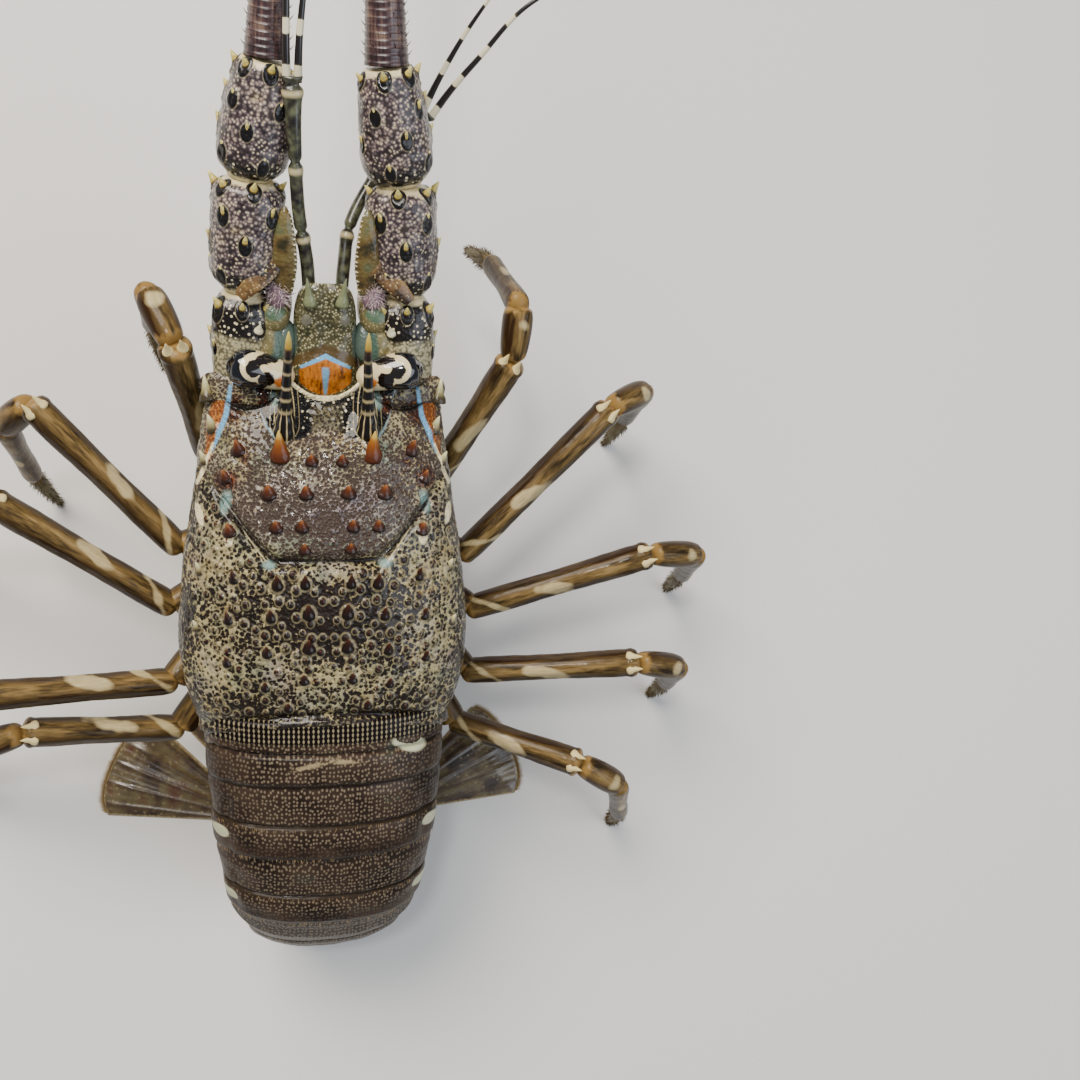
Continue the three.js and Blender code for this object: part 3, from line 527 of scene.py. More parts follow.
def buildCarapace():
    rings, turns = shellGrid()
    upper = abs(turns) <= math.pi / 2
    # small tubercles between the thorns, their places kept apart
    thorns, bumps = carapace["thorns"], []
    while len(bumps) < carapace["tubercles"]:
        x, y = dice.uniform(0.8, 30), dice.uniform(14, 79)
        near = min(math.hypot(x - p[1], y - p[0]) for p in thorns + bumps)
        ahead = y - float(grooveLine(x))
        if near > (2.4 if ahead < -2.4 else 4.2) and abs(ahead) > 2.4:
            size = dice.uniform(0.55, 1.1) * (1 if ahead < -2.4 else 0.7)
            bumps.append((y, x, 0.8 * size, 0.7 * size))
    around = allOver(rings, 9.0)
    for side in (-1, 1):
        for y, x, length, radius in thorns + bumps:
            away = np.hypot(rings[..., 0] - side * x, (rings[..., 1] - y + 0.3 * radius) * 0.85)
            around = np.minimum(around, away / radius)
    around = np.where(upper, around, 9.0)

    marks = shellMarks(rings, turns)
    x, y = rings[..., 0], rings[..., 1]
    grain = grainNoise(rings * [1, 1, 1.2], carapace["grain"])
    enamel = np.maximum.reduce([marks[name] for name in ("cream", "orange", "blue", "rim")])
    granular = (1 - smoothStep(-0.6, 0.1, enamel)) * (
        1 - 0.4 * smoothStep(-0.5, 0.5, marks["black"])) * (1 - 0.8 * bell(y - grooveLine(x), 1.6))
    height = (carapace["grainHeight"] * (0.62 - grain) * granular + 0.28 * hillNoise(rings, 7)
              + 0.55 * bell(around - 0.6, 0.7) * (around < 5)
              + 0.9 * bell(y - rearSweep(x) - 11.7, 0.9)
              + 0.5 * smoothStep(-0.3, 0.4, marks["cream"]) * (y > 88)
              + 1.1 * bell(np.hypot(abs(x) - 9.8, (y - 84) / 1.6), 3.4))
    rings = raised(rings, height * np.where(upper, 1, 0.4))

    # the eye sockets are pressed in, and the under side is flat
    (ox, oy, oz), (rx, ry, rz) = carapace["orbit"]
    side = ((abs(rings[..., 0]) - ox) / rx) ** 2 + ((rings[..., 2] - oz) / rz) ** 2
    wall = oy - ry * np.sqrt(np.maximum(1 - side, 0))
    rings[..., 1] = np.where(side < 1, np.minimum(rings[..., 1], wall), rings[..., 1])
    rings[..., 2] = np.maximum(rings[..., 2], carapace["margin"])
    marks["socket"] = np.where(upper & (side < 1.15), rings[..., 1] - wall + 0.3, -9)
    marks["around"] = around

    # both ends are drawn in behind a rounded lip
    middle = np.array([0, 0, -20.0])
    ends = []
    for ring, steps in ((rings[0], [(0.5, 1.5), (0.95, 0.6), (0.97, -0.7), (0.995, -0.5)]),
                        (rings[-1], [(0.995, 0.5), (0.97, 0.6), (0.95, -1.2), (0.5, -2.6)])):
        ends.append([middle * [0, 1, 1] + (ring - middle) * [scale, 1, scale] + [0, shift, 0]
                     for scale, shift in steps])
    whole = np.concatenate([ends[0], rings, ends[1]])
    marks = {key: np.concatenate([np.repeat(v[:1], 4, 0), v, np.repeat(v[-1:], 4, 0)])
             for key, v in marks.items()}
    parts = [closed(whole, marks | {"place": whole})]

    for side in (-1, 1):
        for y, x, length, radius in thorns:
            point, normal = shellSpot(x, y)
            blunt = 5.5 > length and x < 26 and y > 50
            length, radius = (length * 0.75, radius * 1.3) if blunt else (length, radius)
            aim = unit(normal * (0.85 if blunt else 0.6) + [0, 0.85, 0])
            warmth = 1 if length > 5 else 0.5 * smoothStep(50, 58, y)
            parts.append(thorn(mirrored(point, side), mirrored(aim, side), length, radius, 14, 12,
                               front=2 if x > 26 else warmth))
        for y, x, length, radius in bumps:
            point, normal = shellSpot(x, y)
            aim = normal * 0.95 + [0, 0.6, 0]
            parts.append(thorn(mirrored(point, side), mirrored(aim, side), length, radius, 8, 6,
                               front=0.4 * smoothStep(50, 58, y)))
        ledge, _ = smoothTube(mirrored(carapace["ledge"], side), 60, 40)
        ledge = raised(ledge, 0.25 * hillNoise(ledge, 2.2))
        ledgeMarks = shellMarks(ledge, allOver(ledge, 0)) | {
            "orange": allOver(ledge, -9.0), "place": ledge, "around": allOver(ledge, 9.0)}
        parts.append(closed(ledge, ledgeMarks))
        foot, aim, length, radius = carapace["cornerThorn"]
        parts.append(thorn(mirrored(foot, side), mirrored(aim, side), length, radius, 18, 16,
                           front=2))
    buildPiece("carapaceShell", placed(parts), granularShell(), "carapace")


def granularShell():
    # crab-like calcified cuticle, wet: a pale net round dark grains, glossy on each grain's top
    material, add, place, behind, pale, around, hornAway, black, isThorn, tip, front = (
        startFinish("granularShell", "place", "behind", "netPale", "around", "hornAway",
                    "black", "thorn", "tip", "front"))
    # the grains are finer in front of the groove, and the net is wider where the shell is pale
    coarse = add("TexVoronoi", {"Vector": place, "Scale": 1 / 1.05, "Randomness": 0.9})
    fine = add("TexVoronoi", {"Vector": place, "Scale": 1 / 0.7})
    grains = add("MixRGB", [behind, fine, coarse])
    cloud = add("TexNoise", {"Vector": place, "Scale": 1 / 6, "Detail": 4})
    speck = add("TexNoise", {"Vector": place, "Scale": 1 / 0.4, "Detail": 2})
    reach = add("Math", [grains, pale], operation="ADD")
    net = add("MapRange", [add("Math", [speck, 0.9, reach], operation="MULTIPLY_ADD"),
                           1.32, 1.56])
    dark = add("MixRGB", [behind, "#40342c", add("MixRGB", [cloud, "#080605", "#241811"])])
    light = add("ValToRGB", [cloud], {0.3: "#756e4c", 0.5: "#aa9d72", 0.7: "#7d6a42"})
    toned = layered(add, light, [("grey", "#807781"), ("greenish", "#5d7161")])
    colour = add("MixRGB", [net, dark, toned])

    # ringed pits round the thorns
    ring = add("ValToRGB", [add("Math", [around, 0.25], operation="MULTIPLY")],
               {0.0: "#1b100b", 0.3: "#20130d", 0.36: "#a79a74", 0.44: "#9c8f6a",
                0.52: "#15100c"})
    ringHere = add("Math", [add("MapRange", [around, 2.2, 1.8, 0, 0.4]), behind],
                   operation="MULTIPLY")
    colour = add("MixRGB", [ringHere, colour, ring])

    # behind the front rim: white dots on black, and lines that fan out at the horns' feet
    wobble = add("Math", [cloud, 2.4, -1.2], operation="MULTIPLY_ADD")
    dots = add("TexVoronoi", {"Vector": place, "Scale": 1 / 1.15, "Randomness": 0.75})
    dotted = add("ValToRGB", [dots], {0.22: "#cfc3a0", 0.32: "#050403"})
    lines = add("Math", [add("Math", [hornAway, 6.0], operation="MULTIPLY")], operation="SINE")
    lined = add("ValToRGB", [lines], {0.66: "#050403", 0.95: "#b5a276"})
    blackZone = add("MixRGB", [add("MapRange", [hornAway, 3.6, 3.2]), dotted, lined])
    midTone = add("MixRGB", [0.55, colour, "#10110c"])
    zone = layered(add, blackZone, [("midField", midTone, 1.0, wobble)])
    hem, ruddy, sienna = (add("MixRGB", [net, *tones]) for tones in (
        ("#1d1712", "#75694f"), ("#2a1209", "#6b3a1d"), ("#6e3a12", "#a5682c")))
    colour = layered(add, colour, [
        # painted highlights: bluish ovals on the groove's edges
        ("black", zone, 0.3, wobble), ("seam", "#7f979c", 0.25), ("bluish", "#7d9891", 0.5),
        # painted shade: near-black in the neck groove
        ("furrow", "#120d09", 0.35, wobble), ("rim", hem, 0.3), ("rust", ruddy, 0.9, wobble),
        ("orange", sienna, 0.4, wobble), ("blue", "#6ba2c4", 0.2),
        ("socket", "#15100b", 0.4, wobble), ("cream", "#ded0a4", 0.12)])

    # thorns, from behind to the front: dusk, rust, orange with a yellow tip, chalk at the edge
    thornColour, *others = (add("ValToRGB", [tip], stops) for stops in (
        {0.0: "#140a07", 0.5: "#2a120b", 0.85: "#43200f", 1.0: "#6a4524"},
        {0.0: "#24110a", 0.5: "#562a13", 1.0: "#8c5526"},
        {0.0: "#4a220e", 0.35: "#7a4216", 0.6: "#96601f", 0.78: "#c2a14c"},
        {0.0: "#3a3222", 0.25: "#8f8459", 0.6: "#bdb687", 1.0: "#dad5a8"}))
    for shade, low, high in zip(others, (0, 0.5, 1), (0.5, 1, 2)):
        thornColour = add("MixRGB", [add("MapRange", [front, low, high]), thornColour, shade])
    colour = add("MixRGB", [isThorn, colour, thornColour])

    rise = add("Math", [fine, -0.35, add("Math", [grains, -1], operation="MULTIPLY")],
               operation="MULTIPLY_ADD")
    level = add("Math", [isThorn, -1, 1], operation="MULTIPLY_ADD")
    bump = add("Bump", {"Height": rise, "Distance": 0.00032, "Strength": level})
    uneven = add("MapRange", [speck, 0.3, 0.7, 0.28, 0.55])
    inBlack = add("MapRange", [black, -0.5, 0.5, 0, 0.45])
    rough = add("Math", [inBlack, -0.2, uneven], operation="MULTIPLY_ADD")
    endFinish(add, colour, Normal=bump, Roughness=rough, IOR=1.5, Specular_IOR_Level=0.15,
              Coat_Weight=0.42, Coat_Roughness=0.05)
    return material


buildCarapace()
print("Stage: carapace is built")


# Horns over the eyes: stations of out, forward, up and radius
horn = {
    "stations": [(9.8, 80.5, -8.8, 2.9), (9.7, 85, -6, 2.6), (9.6, 89, -3.6, 1.75),
                 (9.4, 94, -0.8, 1.22), (9, 101, 3.6, 0.98), (8.85, 105.6, 7, 0.62),
                 (8.8, 107.4, 8.4, 0.12)],
    "rows": 90, "around": 36, "ripple": 0.05,
}


def bandedHorn():
    # polished horn of dark cuticle with cream growth bands and a yellow tip
    material, add, place, share = startFinish("bandedHorn", "place", "share")
    drawnOut = add("Mapping", {"Vector": place, "Scale": (1.2, 0.12, 1.2)})
    streak = add("TexNoise", {"Vector": drawnOut, "Scale": 1.6, "Detail": 3})
    wave = add("Math", [streak, 0.016, share], operation="MULTIPLY_ADD")
    bands = add("ValToRGB", [wave], {
        0.30: "#0d0907", 0.32: "#a8966c", 0.345: "#0d0907", 0.40: "#0d0907", 0.42: "#b5a275",
        0.44: "#0d0907", 0.50: "#0d0907", 0.52: "#c2ae80", 0.54: "#0d0907", 0.625: "#0d0907",
        0.645: "#ae9c74", 0.665: "#0d0907", 0.74: "#0e0a08", 0.76: "#94845f", 0.78: "#120c09",
        0.85: "#2a180c", 0.875: "#b08a34", 1.0: "#dcc558"})
    bump = add("Bump", {"Height": streak, "Distance": 0.0001, "Strength": 0.6})
    colour = layered(add, bands, [("flute", "#b5a276", 0.2)])
    endFinish(add, colour, Normal=bump, Roughness=0.3, IOR=1.54, Specular_IOR_Level=0.3,
              Coat_Weight=0.3, Coat_Roughness=0.06)
    return material


def buildHorns():
    finish = bandedHorn()
    for name, side in sides.items():
        rings, marks = smoothTube(mirrored(horn["stations"], side), horn["rows"], horn["around"])
        share = marks["share"]
        rings = swollen(rings, 1 + horn["ripple"] * np.sin(share * 60) * (1 - share))
        # cream lines that fan out over the foot
        marks["flute"] = np.where(share < 0.36, np.cos(marks["turn"] * 9) - 0.62
                                  - 3 * np.maximum(0, share - 0.26), -9)
        buildPiece(f"hornOverEye_{name}", placed([closed(rings, marks)]), finish, f"horn_{name}")


# Eyes: a stalk that swells into a globe with a black cornea on its outer side
eye = {
    "stations": [(8.2, 95.4, -11.8, 2.0), (9.6, 96, -11.2, 3.2), (12.6, 96.9, -10.1, 3.9),
                 (15.6, 97.7, -9.3, 4.35), (18.4, 98, -9, 4.6), (20, 98.1, -8.9, 4.3),
                 (21.4, 98.1, -8.8, 3.45), (22.4, 98.2, -8.7, 2.2), (22.85, 98.2, -8.6, 1.1),
                 (23.0, 98.2, -8.6, 0.3)],
    "globe": (18.4, 98), "rows": 110, "around": 72,
}


def glossyEye():
    # smooth wet cuticle: cream stalk with near-black blotches, a bluish black cornea
    material, add, place = startFinish("glossyEye", "place")
    cloud = add("TexNoise", {"Vector": place, "Scale": 0.55, "Detail": 2})
    wobble = add("Math", [cloud, 1.4, -0.7], operation="MULTIPLY_ADD")
    cream = add("MixRGB", [cloud, "#e6d9b4", "#cdb67c"])
    colour = layered(add, cream, [("rust", "#b8651f", 0.3, wobble),
                                  ("blotch", "#120b0a", 0.12, wobble),
                                  ("cornea", "#04060f", 0.06)])
    bump = add("Bump", {"Height": cloud, "Distance": 0.0001, "Strength": 0.3})
    endFinish(add, colour, Normal=bump, Roughness=0.12, IOR=1.42, Coat_Weight=1.0,
              Coat_Roughness=0.03)
    return material


def buildEyes():
    finish = glossyEye()
    for name, side in sides.items():
        rings, marks = smoothTube(mirrored(eye["stations"], side), eye["rows"], eye["around"])
        u, v = abs(rings[..., 0]) - eye["globe"][0], rings[..., 1] - eye["globe"][1]
        arc, outer = np.hypot(u + 2.0, v - 0.3), u > -2.4
        marks["cornea"] = np.maximum(np.where(outer, arc - 3.35 - 0.05 * v, -9),
                                     ovalField(u, v, (-1.2, -4.5, 3.6, 0.9, -12)))
        marks["blotch"] = np.maximum(
            np.where(outer | (arc < 2.0), 2.05 - arc, -9),
            ovalField(u, v, (-3.4, 1.8, 1.6, 1.3, 0), (-5.6, 2.7, 2.4, 1.3, -8),
                      (-4.5, -2.2, 1.9, 1.9, 0))
        ) - 3 * np.maximum(0, ovalField(u, v, (-4.1, 0.4, 1.6, 0.9, 15)))
        marks["rust"] = ovalField(u, v, (-7.9, -2.9, 1.5, 1.5, 20))
        marks["place"] = rings
        buildPiece(f"stalkedEye_{name}", placed([closed(rings, marks)]), finish, f"eye_{name}")


# Plate between the antennae, with the orange field that shows between the horns
plate = {
    # distance forward, half width, top
    "rows": [(88.5, 9.6, -15.6), (90.5, 9.5, -15), (95, 9, -13.5), (100, 7.6, -12),
             (106, 7.2, -10.5), (112, 6.9, -8), (116, 5.9, -6.4), (118, 4.4, -6.8)],
    "thorn": ((3.8, 114.5, -6.4), (0.12, 0.85, 0.5), 5.6, 1.05),
    "strip": ((9.5, 104.6, -14.2), (2.9, 5.2, 2.6)),
    "dome": (4.5, 109.5), "fieldHalf": 6.2, "count": 90, "around": 96,
}


def mottledPlate():
    # thin calcified cuticle, olive and finely speckled, with enamel-like colour fields
    material, add, place = startFinish("mottledPlate", "place")
    cloud = add("TexNoise", {"Vector": place, "Scale": 0.3, "Detail": 4})
    specks = add("TexVoronoi", {"Vector": place, "Scale": 1 / 0.7})
    base = add("ValToRGB", [cloud], {0.32: "#414632", 0.46: "#64603f", 0.56: "#726a4a",
                                     0.7: "#4b5743"})
    spotted = add("ValToRGB", [specks], {0.2: "#d2c9a6", 0.33: "#6a6547", 0.6: "#12120c"})
    wobble = add("Math", [cloud, 1.2, -0.6], operation="MULTIPLY_ADD")
    drawnOut = add("Mapping", {"Vector": place, "Scale": (1.6, 0.35, 1)})
    veins = add("TexNoise", {"Vector": drawnOut, "Scale": 0.9, "Detail": 4})
    orange = add("ValToRGB", [veins], {0.34: "#5b2f0a", 0.46: "#a05a14", 0.62: "#b8711f"})
    colour = layered(add, add("MixRGB", [0.62, base, spotted]), [
        ("brown", "#4a3a1e", 0.5, wobble), ("dimple", "#6d6a5c", 0.3), ("blue", "#5f9fc8", 0.12),
        ("orange", orange, 0.12), ("stripe", "#6e9dba", 0.2), ("teal", "#48574e", 0.3, wobble),
        ("thorn", "#757a58")])
    bump = add("Bump", {"Height": specks, "Distance": 0.00018, "Strength": 0.5}, invert=True)
    endFinish(add, colour, Normal=bump, Roughness=0.34, IOR=1.5, Specular_IOR_Level=0.3,
              Coat_Weight=0.4, Coat_Roughness=0.06)
    return material


def flatLoft(half, y, around, blunt):
    # the turn's sine, and x and y over a lofted plate
    turn = np.arange(around) / around * 2 * np.pi
    c = np.cos(turn)
    return np.sin(turn), half[:, None] * np.sign(c) * abs(c) ** blunt, y[:, None] + 0 * turn


def buildPlate():
    y = np.linspace(plate["rows"][0][0], plate["rows"][-1][0], plate["count"])
    half, top = profile(plate["rows"], y).T
    floor = -24 + (y - 90) * 0.35
    mid = floor + (top - floor) * 0.4
    s, x, yy = flatLoft(half * 1.05, y, plate["around"], 0.75)
    z = mid[:, None] + np.where(s > 0, (top + 1.0 - mid)[:, None] * abs(s) ** 0.8,
                                -(mid - floor)[:, None] * abs(s) ** 0.6)
    rings = np.stack([x, yy, z], -1)
    above = s[None, :] > 0
    # two low domes, a hollow down the middle and a swelling under the orange field
    domeX, domeY = plate["dome"]
    domes = [np.hypot(x - cx, yy - domeY) for cx in (-domeX, domeX)]
    relief = (0.7 * bell(domes[0], 1.5) + 0.7 * bell(domes[1], 1.5)
              - 0.7 * bell(x, 1.6) * smoothStep(102, 106, yy)
              + np.exp(-np.hypot(x / 6.4, (yy - 97.6) / 4) ** 4) + 0.25 * hillNoise(rings, 3))
    rings[..., 2] += np.where(above, relief, 0)
    roof, low = 100.4 - 0.42 * abs(x), 91.6 + 0.08 * x ** 2
    outlines = {
        "orange": np.minimum(roof - yy, np.minimum(yy - low, plate["fieldHalf"] - abs(x))),
        "blue": np.where(abs(x) < plate["fieldHalf"],
                         np.minimum(roof + 1.3 - 0.1 * abs(x) - yy, yy - roof + 0.2), -9),
        "stripe": np.minimum(0.95 - 0.09 * (98.4 - yy) - abs(x),
                             np.minimum(98.4 - yy, yy - low)),
        "brown": np.where(yy > roof + 1, 3.6 + roof - yy, -9),
        "dimple": 1.25 - np.minimum(*domes)}
    marks = {name: np.where(above, field, -9) for name, field in outlines.items()}
    marks["teal"] = np.where(abs(x) > 6, ovalField(abs(x), yy, (8.4, 104.5, 2, 5, 0)), -9)
    parts = [closed(rings, marks | {"place": rings})]
    foot, aim, length, radius = plate["thorn"]
    centre, radii = plate["strip"]
    for side in (-1, 1):
        parts.append(thorn(mirrored(foot, side), mirrored(aim, side), length, radius, 14, 12))
        parts.append(blob(mirrored(centre, side), radii, 20, 28, teal=3))
    buildPiece("antennularPlate", placed(parts), mottledPlate(), "antennular_plate")


# Under side: breast plate, mouth plate and the two mouth legs
underside = {
    "breast": [(12, 21, -45), (24, 24, -46.5), (40, 20, -47), (56, 15, -47), (70, 11, -46),
               (79, 9.5, -44)],
    "grooves": (21, 34, 47, 60, 71),
    "mouth": [(80, 11, -36.5, -41), (88, 12.5, -27, -41), (96, 12, -25, -37),
              (102, 9.5, -24.5, -32)],
    "mouthLeg": [(5.4, 72, -43, 3, 3), (6.4, 80, -46.5, 3.4, 3), (7.2, 90, -46, 3.1, 2.8),
                 (6.4, 98, -43, 2.4, 2.2), (5.6, 103, -38, 1.3, 1.3)],
    "mouthLegJoints": (0.34, 0.62, 0.82), "mouthLegHairs": 340,
}


def creamCuticle():
    # thin, little-coloured cuticle of the under side, satin, with faint rusty freckles
    material, add, place = startFinish("creamCuticle", "place")
    cloud = add("TexNoise", {"Vector": place, "Scale": 0.16, "Detail": 5})
    dots = add("TexVoronoi", {"Vector": place, "Scale": 1 / 2.2})
    base = add("ValToRGB", [cloud], {0.3: "#8f7a52", 0.5: "#c8b78e", 0.7: "#a58758"})
    colour = add("MixRGB", [add("MapRange", [dots, 0.26, 0.16, 0, 0.7]), base, "#6b3a1c"])
    bump = add("Bump", {"Height": cloud, "Distance": 0.0004, "Strength": 0.5})
    endFinish(add, colour, Normal=bump, Roughness=0.38, IOR=1.5, Coat_Weight=0.3,
              Coat_Roughness=0.15)
    return material


def buildUnderside():
    finish = creamCuticle()
    # breast plate with a groove between the roots of each pair of legs
    y = np.linspace(12, 79, 110)
    half, floor = profile(underside["breast"], y).T
    top = carapace["margin"] + 0.2
    s, x, yy = flatLoft(half, y, 72, 0.55)
    z = top + np.where(s < 0, (floor - top)[:, None] * abs(s) ** 0.7, 0) - 0.05
    groove = sum(bell(y - at, 0.9) for at in underside["grooves"])[:, None]
    z = np.where(s < -0.05, z + groove * 1.3 + bell(x, 2.2) * 0.8, z)
    breast = np.stack([x, yy, z], -1)
    breast[..., 2] += 0.2 * hillNoise(breast, 4) * (s < 0)

    y = np.linspace(80, 102, 46)
    half, top, floor = profile(underside["mouth"], y).T[..., None]
    s, x, yy = flatLoft(half[:, 0], y, 72, 0.7)
    mid = top * 0.55 + floor * 0.45
    z = mid + np.where(s > 0, (top - mid) * abs(s) ** 0.5, (floor - mid) * abs(s) ** 0.7)
    mouth = np.stack([x, yy, z + 0.7 * bell(x, 1.4) * (s < 0)], -1)
    for name, rings, node in (("breastPlate", breast, "sternum"),
                              ("mouthPlate", mouth, "epistome")):
        buildPiece(name, placed([closed(rings, {"place": rings})]), finish, node)


def buildMouthLegs(finish):
    for name, side in sides.items():
        rings, marks = smoothTube(mirrored(underside["mouthLeg"], side), 80, 30)
        centre = rings.mean(axis=1)
        pinch = sum(bell(marks["share"] - at, 0.02) for at in underside["mouthLegJoints"])
        rings = swollen(rings, 1 - 0.22 * pinch)
        marks["end"] = 1 - np.clip(pinch, 0, 1) * 1.2  # pale where its segments end
        count = underside["mouthLegHairs"]
        row, spot = dice.integers(24, 78, count), dice.integers(0, 30, count)
        feet = rings[row, spot]
        aims = unit(feet - centre[row]) * 0.8 + [0, 0.9, 0.1]
        keep = (abs(feet[:, 0]) < abs(centre[row, 0])) | (feet[:, 2] < centre[row, 2])
        hairs = bristles(feet[keep], aims[keep], dice.uniform(1.4, 3.2, keep.sum()), 0.09, 0.1,
                         hair=1)
        buildPiece(f"mouthLeg_{name}", placed([closed(rings, marks), hairs]), finish,
                   f"maxilliped_{name}")


buildHorns()
buildEyes()
buildPlate()
buildUnderside()
print("Stage: horns, eyes, plate and under side are built")


# Antennae: three stout joints and a long tapering whip
antenna = {
    "joints": [(20.2, 88, -22), (18.8, 116, -14), (16.9, 141, -6), (12.9, 165, 3)],
    # share of the joint, half width, half depth
    "shapes": [
        [(0, 5.6, 6.5), (0.25, 6.6, 7), (0.6, 7, 7.2), (0.88, 6.6, 7), (1, 4.6, 5)],
        [(0, 4.6, 5), (0.16, 7.4, 7.4), (0.45, 8.1, 8), (0.75, 8.2, 8), (0.92, 7.4, 7.2),
         (1, 4.8, 5)],
        [(0, 4.8, 5), (0.14, 7.6, 7.4), (0.4, 8, 7.6), (0.7, 7.4, 7.2), (0.92, 6.3, 6.2),
         (1, 4.9, 5)]],
    # share of the joint, turn from the top, length
    "thorns": [
        [(0.55, 60, 2.2), (0.88, -50, 2.6), (0.9, 0, 2.6), (0.88, 55, 3.6), (0.6, 95, 3)],
        [(0.22, -35, 2.4), (0.2, 40, 2.4), (0.45, -75, 2.6), (0.5, 0, 2.6), (0.45, 75, 3),
         (0.74, -40, 2.8), (0.72, 38, 2.8), (0.93, -80, 2.8), (0.94, -10, 3), (0.93, 50, 3),
         (0.9, 95, 3.6), (0.2, 100, 2.6)],
        [(0.2, -20, 2.2), (0.24, 50, 2.6), (0.42, -70, 2.4), (0.46, 12, 2.4), (0.4, 95, 3),
         (0.66, -35, 2.4), (0.68, 45, 2.6), (0.92, -75, 2.6), (0.94, -15, 2.8),
         (0.94, 40, 2.8), (0.92, 90, 3), (0.68, 100, 2.8)]],
    # soft pads inside the first joint: middle, half sizes, and a colour patch with its oval
    "pads": [((12.8, 105, -16.5), (5, 10, 5.5), "teal", (-2.2, -0.4, 1.6, 5.4, 8)),
             ((12, 110.4, -13), (3.9, 4.4, 3.6), "green", (-0.4, 0.4, 2.4, 1.7, -20)),
             ((11, 116.2, -10.6), (2.9, 4.4, 2.9), "pink", None),
             ((10.7, 113.4, -15.2), (3.1, 7, 5.2), None, None)],
    "tuftHairs": 260,
    "innerScale": [(9.9, 116, -9.4, 2.3, 1.2), (9.4, 122, -6.3, 2.8, 1.1),
                   (9.4, 128, -4, 2.4, 1.0), (9.3, 132.6, -3.1, 1.5, 0.9),
                   (9.3, 134.8, -2.8, 0.4, 0.4)],
    "beadSpacing": 1.15,
    "strap": [(19.6, 114.4, -6.6, 1.4, 0.35), (16.6, 117.4, -5.4, 2.2, 0.45),
              (13, 120.8, -5.9, 2.3, 0.45), (10.2, 124.4, -5.9, 1.5, 0.35)],
    "tooth": ((15.4, 107, -9.6), (-0.2, 0.6, 0.6), 2.0, 0.75),
    "rows": 84, "around": 90,
    "length": 300, "split": 0.42, "cut": 0.0008, "rise": 30, "bends": 16, "ringSpacing": 1.5,
    "whip": [(0, 5), (0.03, 4.5), (0.07, 4.1), (0.25, 3.5), (0.5, 2.5), (0.75, 1.6), (1, 0.45)],
    # rings of points, points round, rows from one line of spinules to the next, spinule radius
    "whipDetail": {"near": (430, 30, 7, 0.16), "far": (420, 18, 8, 0.1)},
}


def peduncleShell():
    # thick satin cuticle, purple grey with beige mottling; black thorn feet ringed with cream
    material, add, place, tip = startFinish("peduncleShell", "place", "tip")
    cloud = add("TexNoise", {"Vector": place, "Scale": 0.2, "Detail": 4})
    specks = add("TexVoronoi", {"Vector": place, "Scale": 1 / 0.8})
    base = add("ValToRGB", [cloud], {0.32: "#35292a", 0.48: "#685a5c", 0.6: "#83736c",
                                     0.74: "#9c8b6c"})
    grains = add("MapRange", [specks, 0.36, 0.2, 0, 0.8])
    deep = add("MapRange", [specks, 0.42, 0.68, 0, 0.85])
    colour = add("MixRGB", [deep, add("MixRGB", [grains, base, "#c5b795"]), "#160f11"])
    # the first joint is near black with cream dots
    dots = add("TexVoronoi", {"Vector": place, "Scale": 1 / 1.15})
    dotted = add("ValToRGB", [dots], {0.22: "#cdc2a0", 0.33: "#120c0a"})
    scale = add("ValToRGB", [cloud], {0.35: "#2c2814", 0.45: "#544322", 0.55: "#655730",
                                      0.68: "#55573a"})
    skin = add("ValToRGB", [cloud], {0.38: "#2b1d10", 0.5: "#5c4326", 0.6: "#7a6038"})
    sandy = add("MixRGB", [deep, "#a8a07c", "#4f4a38"])
    olive, mauve, speckled = (add("MixRGB", [grains, *tones]) for tones in (
        ("#6b6340", "#a89b76"), ("#7c626c", "#b09aa0"), (skin, "#a5936c")))
    yellow = add("ValToRGB", [tip], {0.14: "#0b0708", 0.24: "#5d4a1c", 0.34: "#b9a24e",
                                     1.0: "#dccf7e"})
    wobble = add("Math", [cloud, 3, -1.5], operation="MULTIPLY_ADD")
    near = add("Math", [grains, 0.5, -0.3], operation="MULTIPLY_ADD")
    colour = layered(add, colour, [
        ("pale", sandy, 1.2, wobble), ("dark", dotted, 0.8, wobble),
        ("cream", "#d6c79c", 0.35, wobble), ("ring", "#bfb18d", 0.16, near),
        ("foot", "#0b0708", 0.1), ("olive", olive, 0.5), ("teal", "#3c5246", 0.4, wobble),
        ("green", "#4b5f49", 0.3), ("pink", mauve, 0.5), ("scale", scale, 0.2),
        ("strap", speckled, 0.4), ("bead", "#d9cfae", 0.1), ("thorn", yellow),
        ("chalk", "#cfc7a6"), ("hair", "#d2bfba")])
    bump = add("Bump", {"Height": specks, "Distance": 0.00022, "Strength": 0.7}, invert=True)
    endFinish(add, colour, Normal=bump, Roughness=0.36, IOR=1.5, Specular_IOR_Level=0.3,
              Coat_Weight=0.4, Coat_Roughness=0.1)
    return material


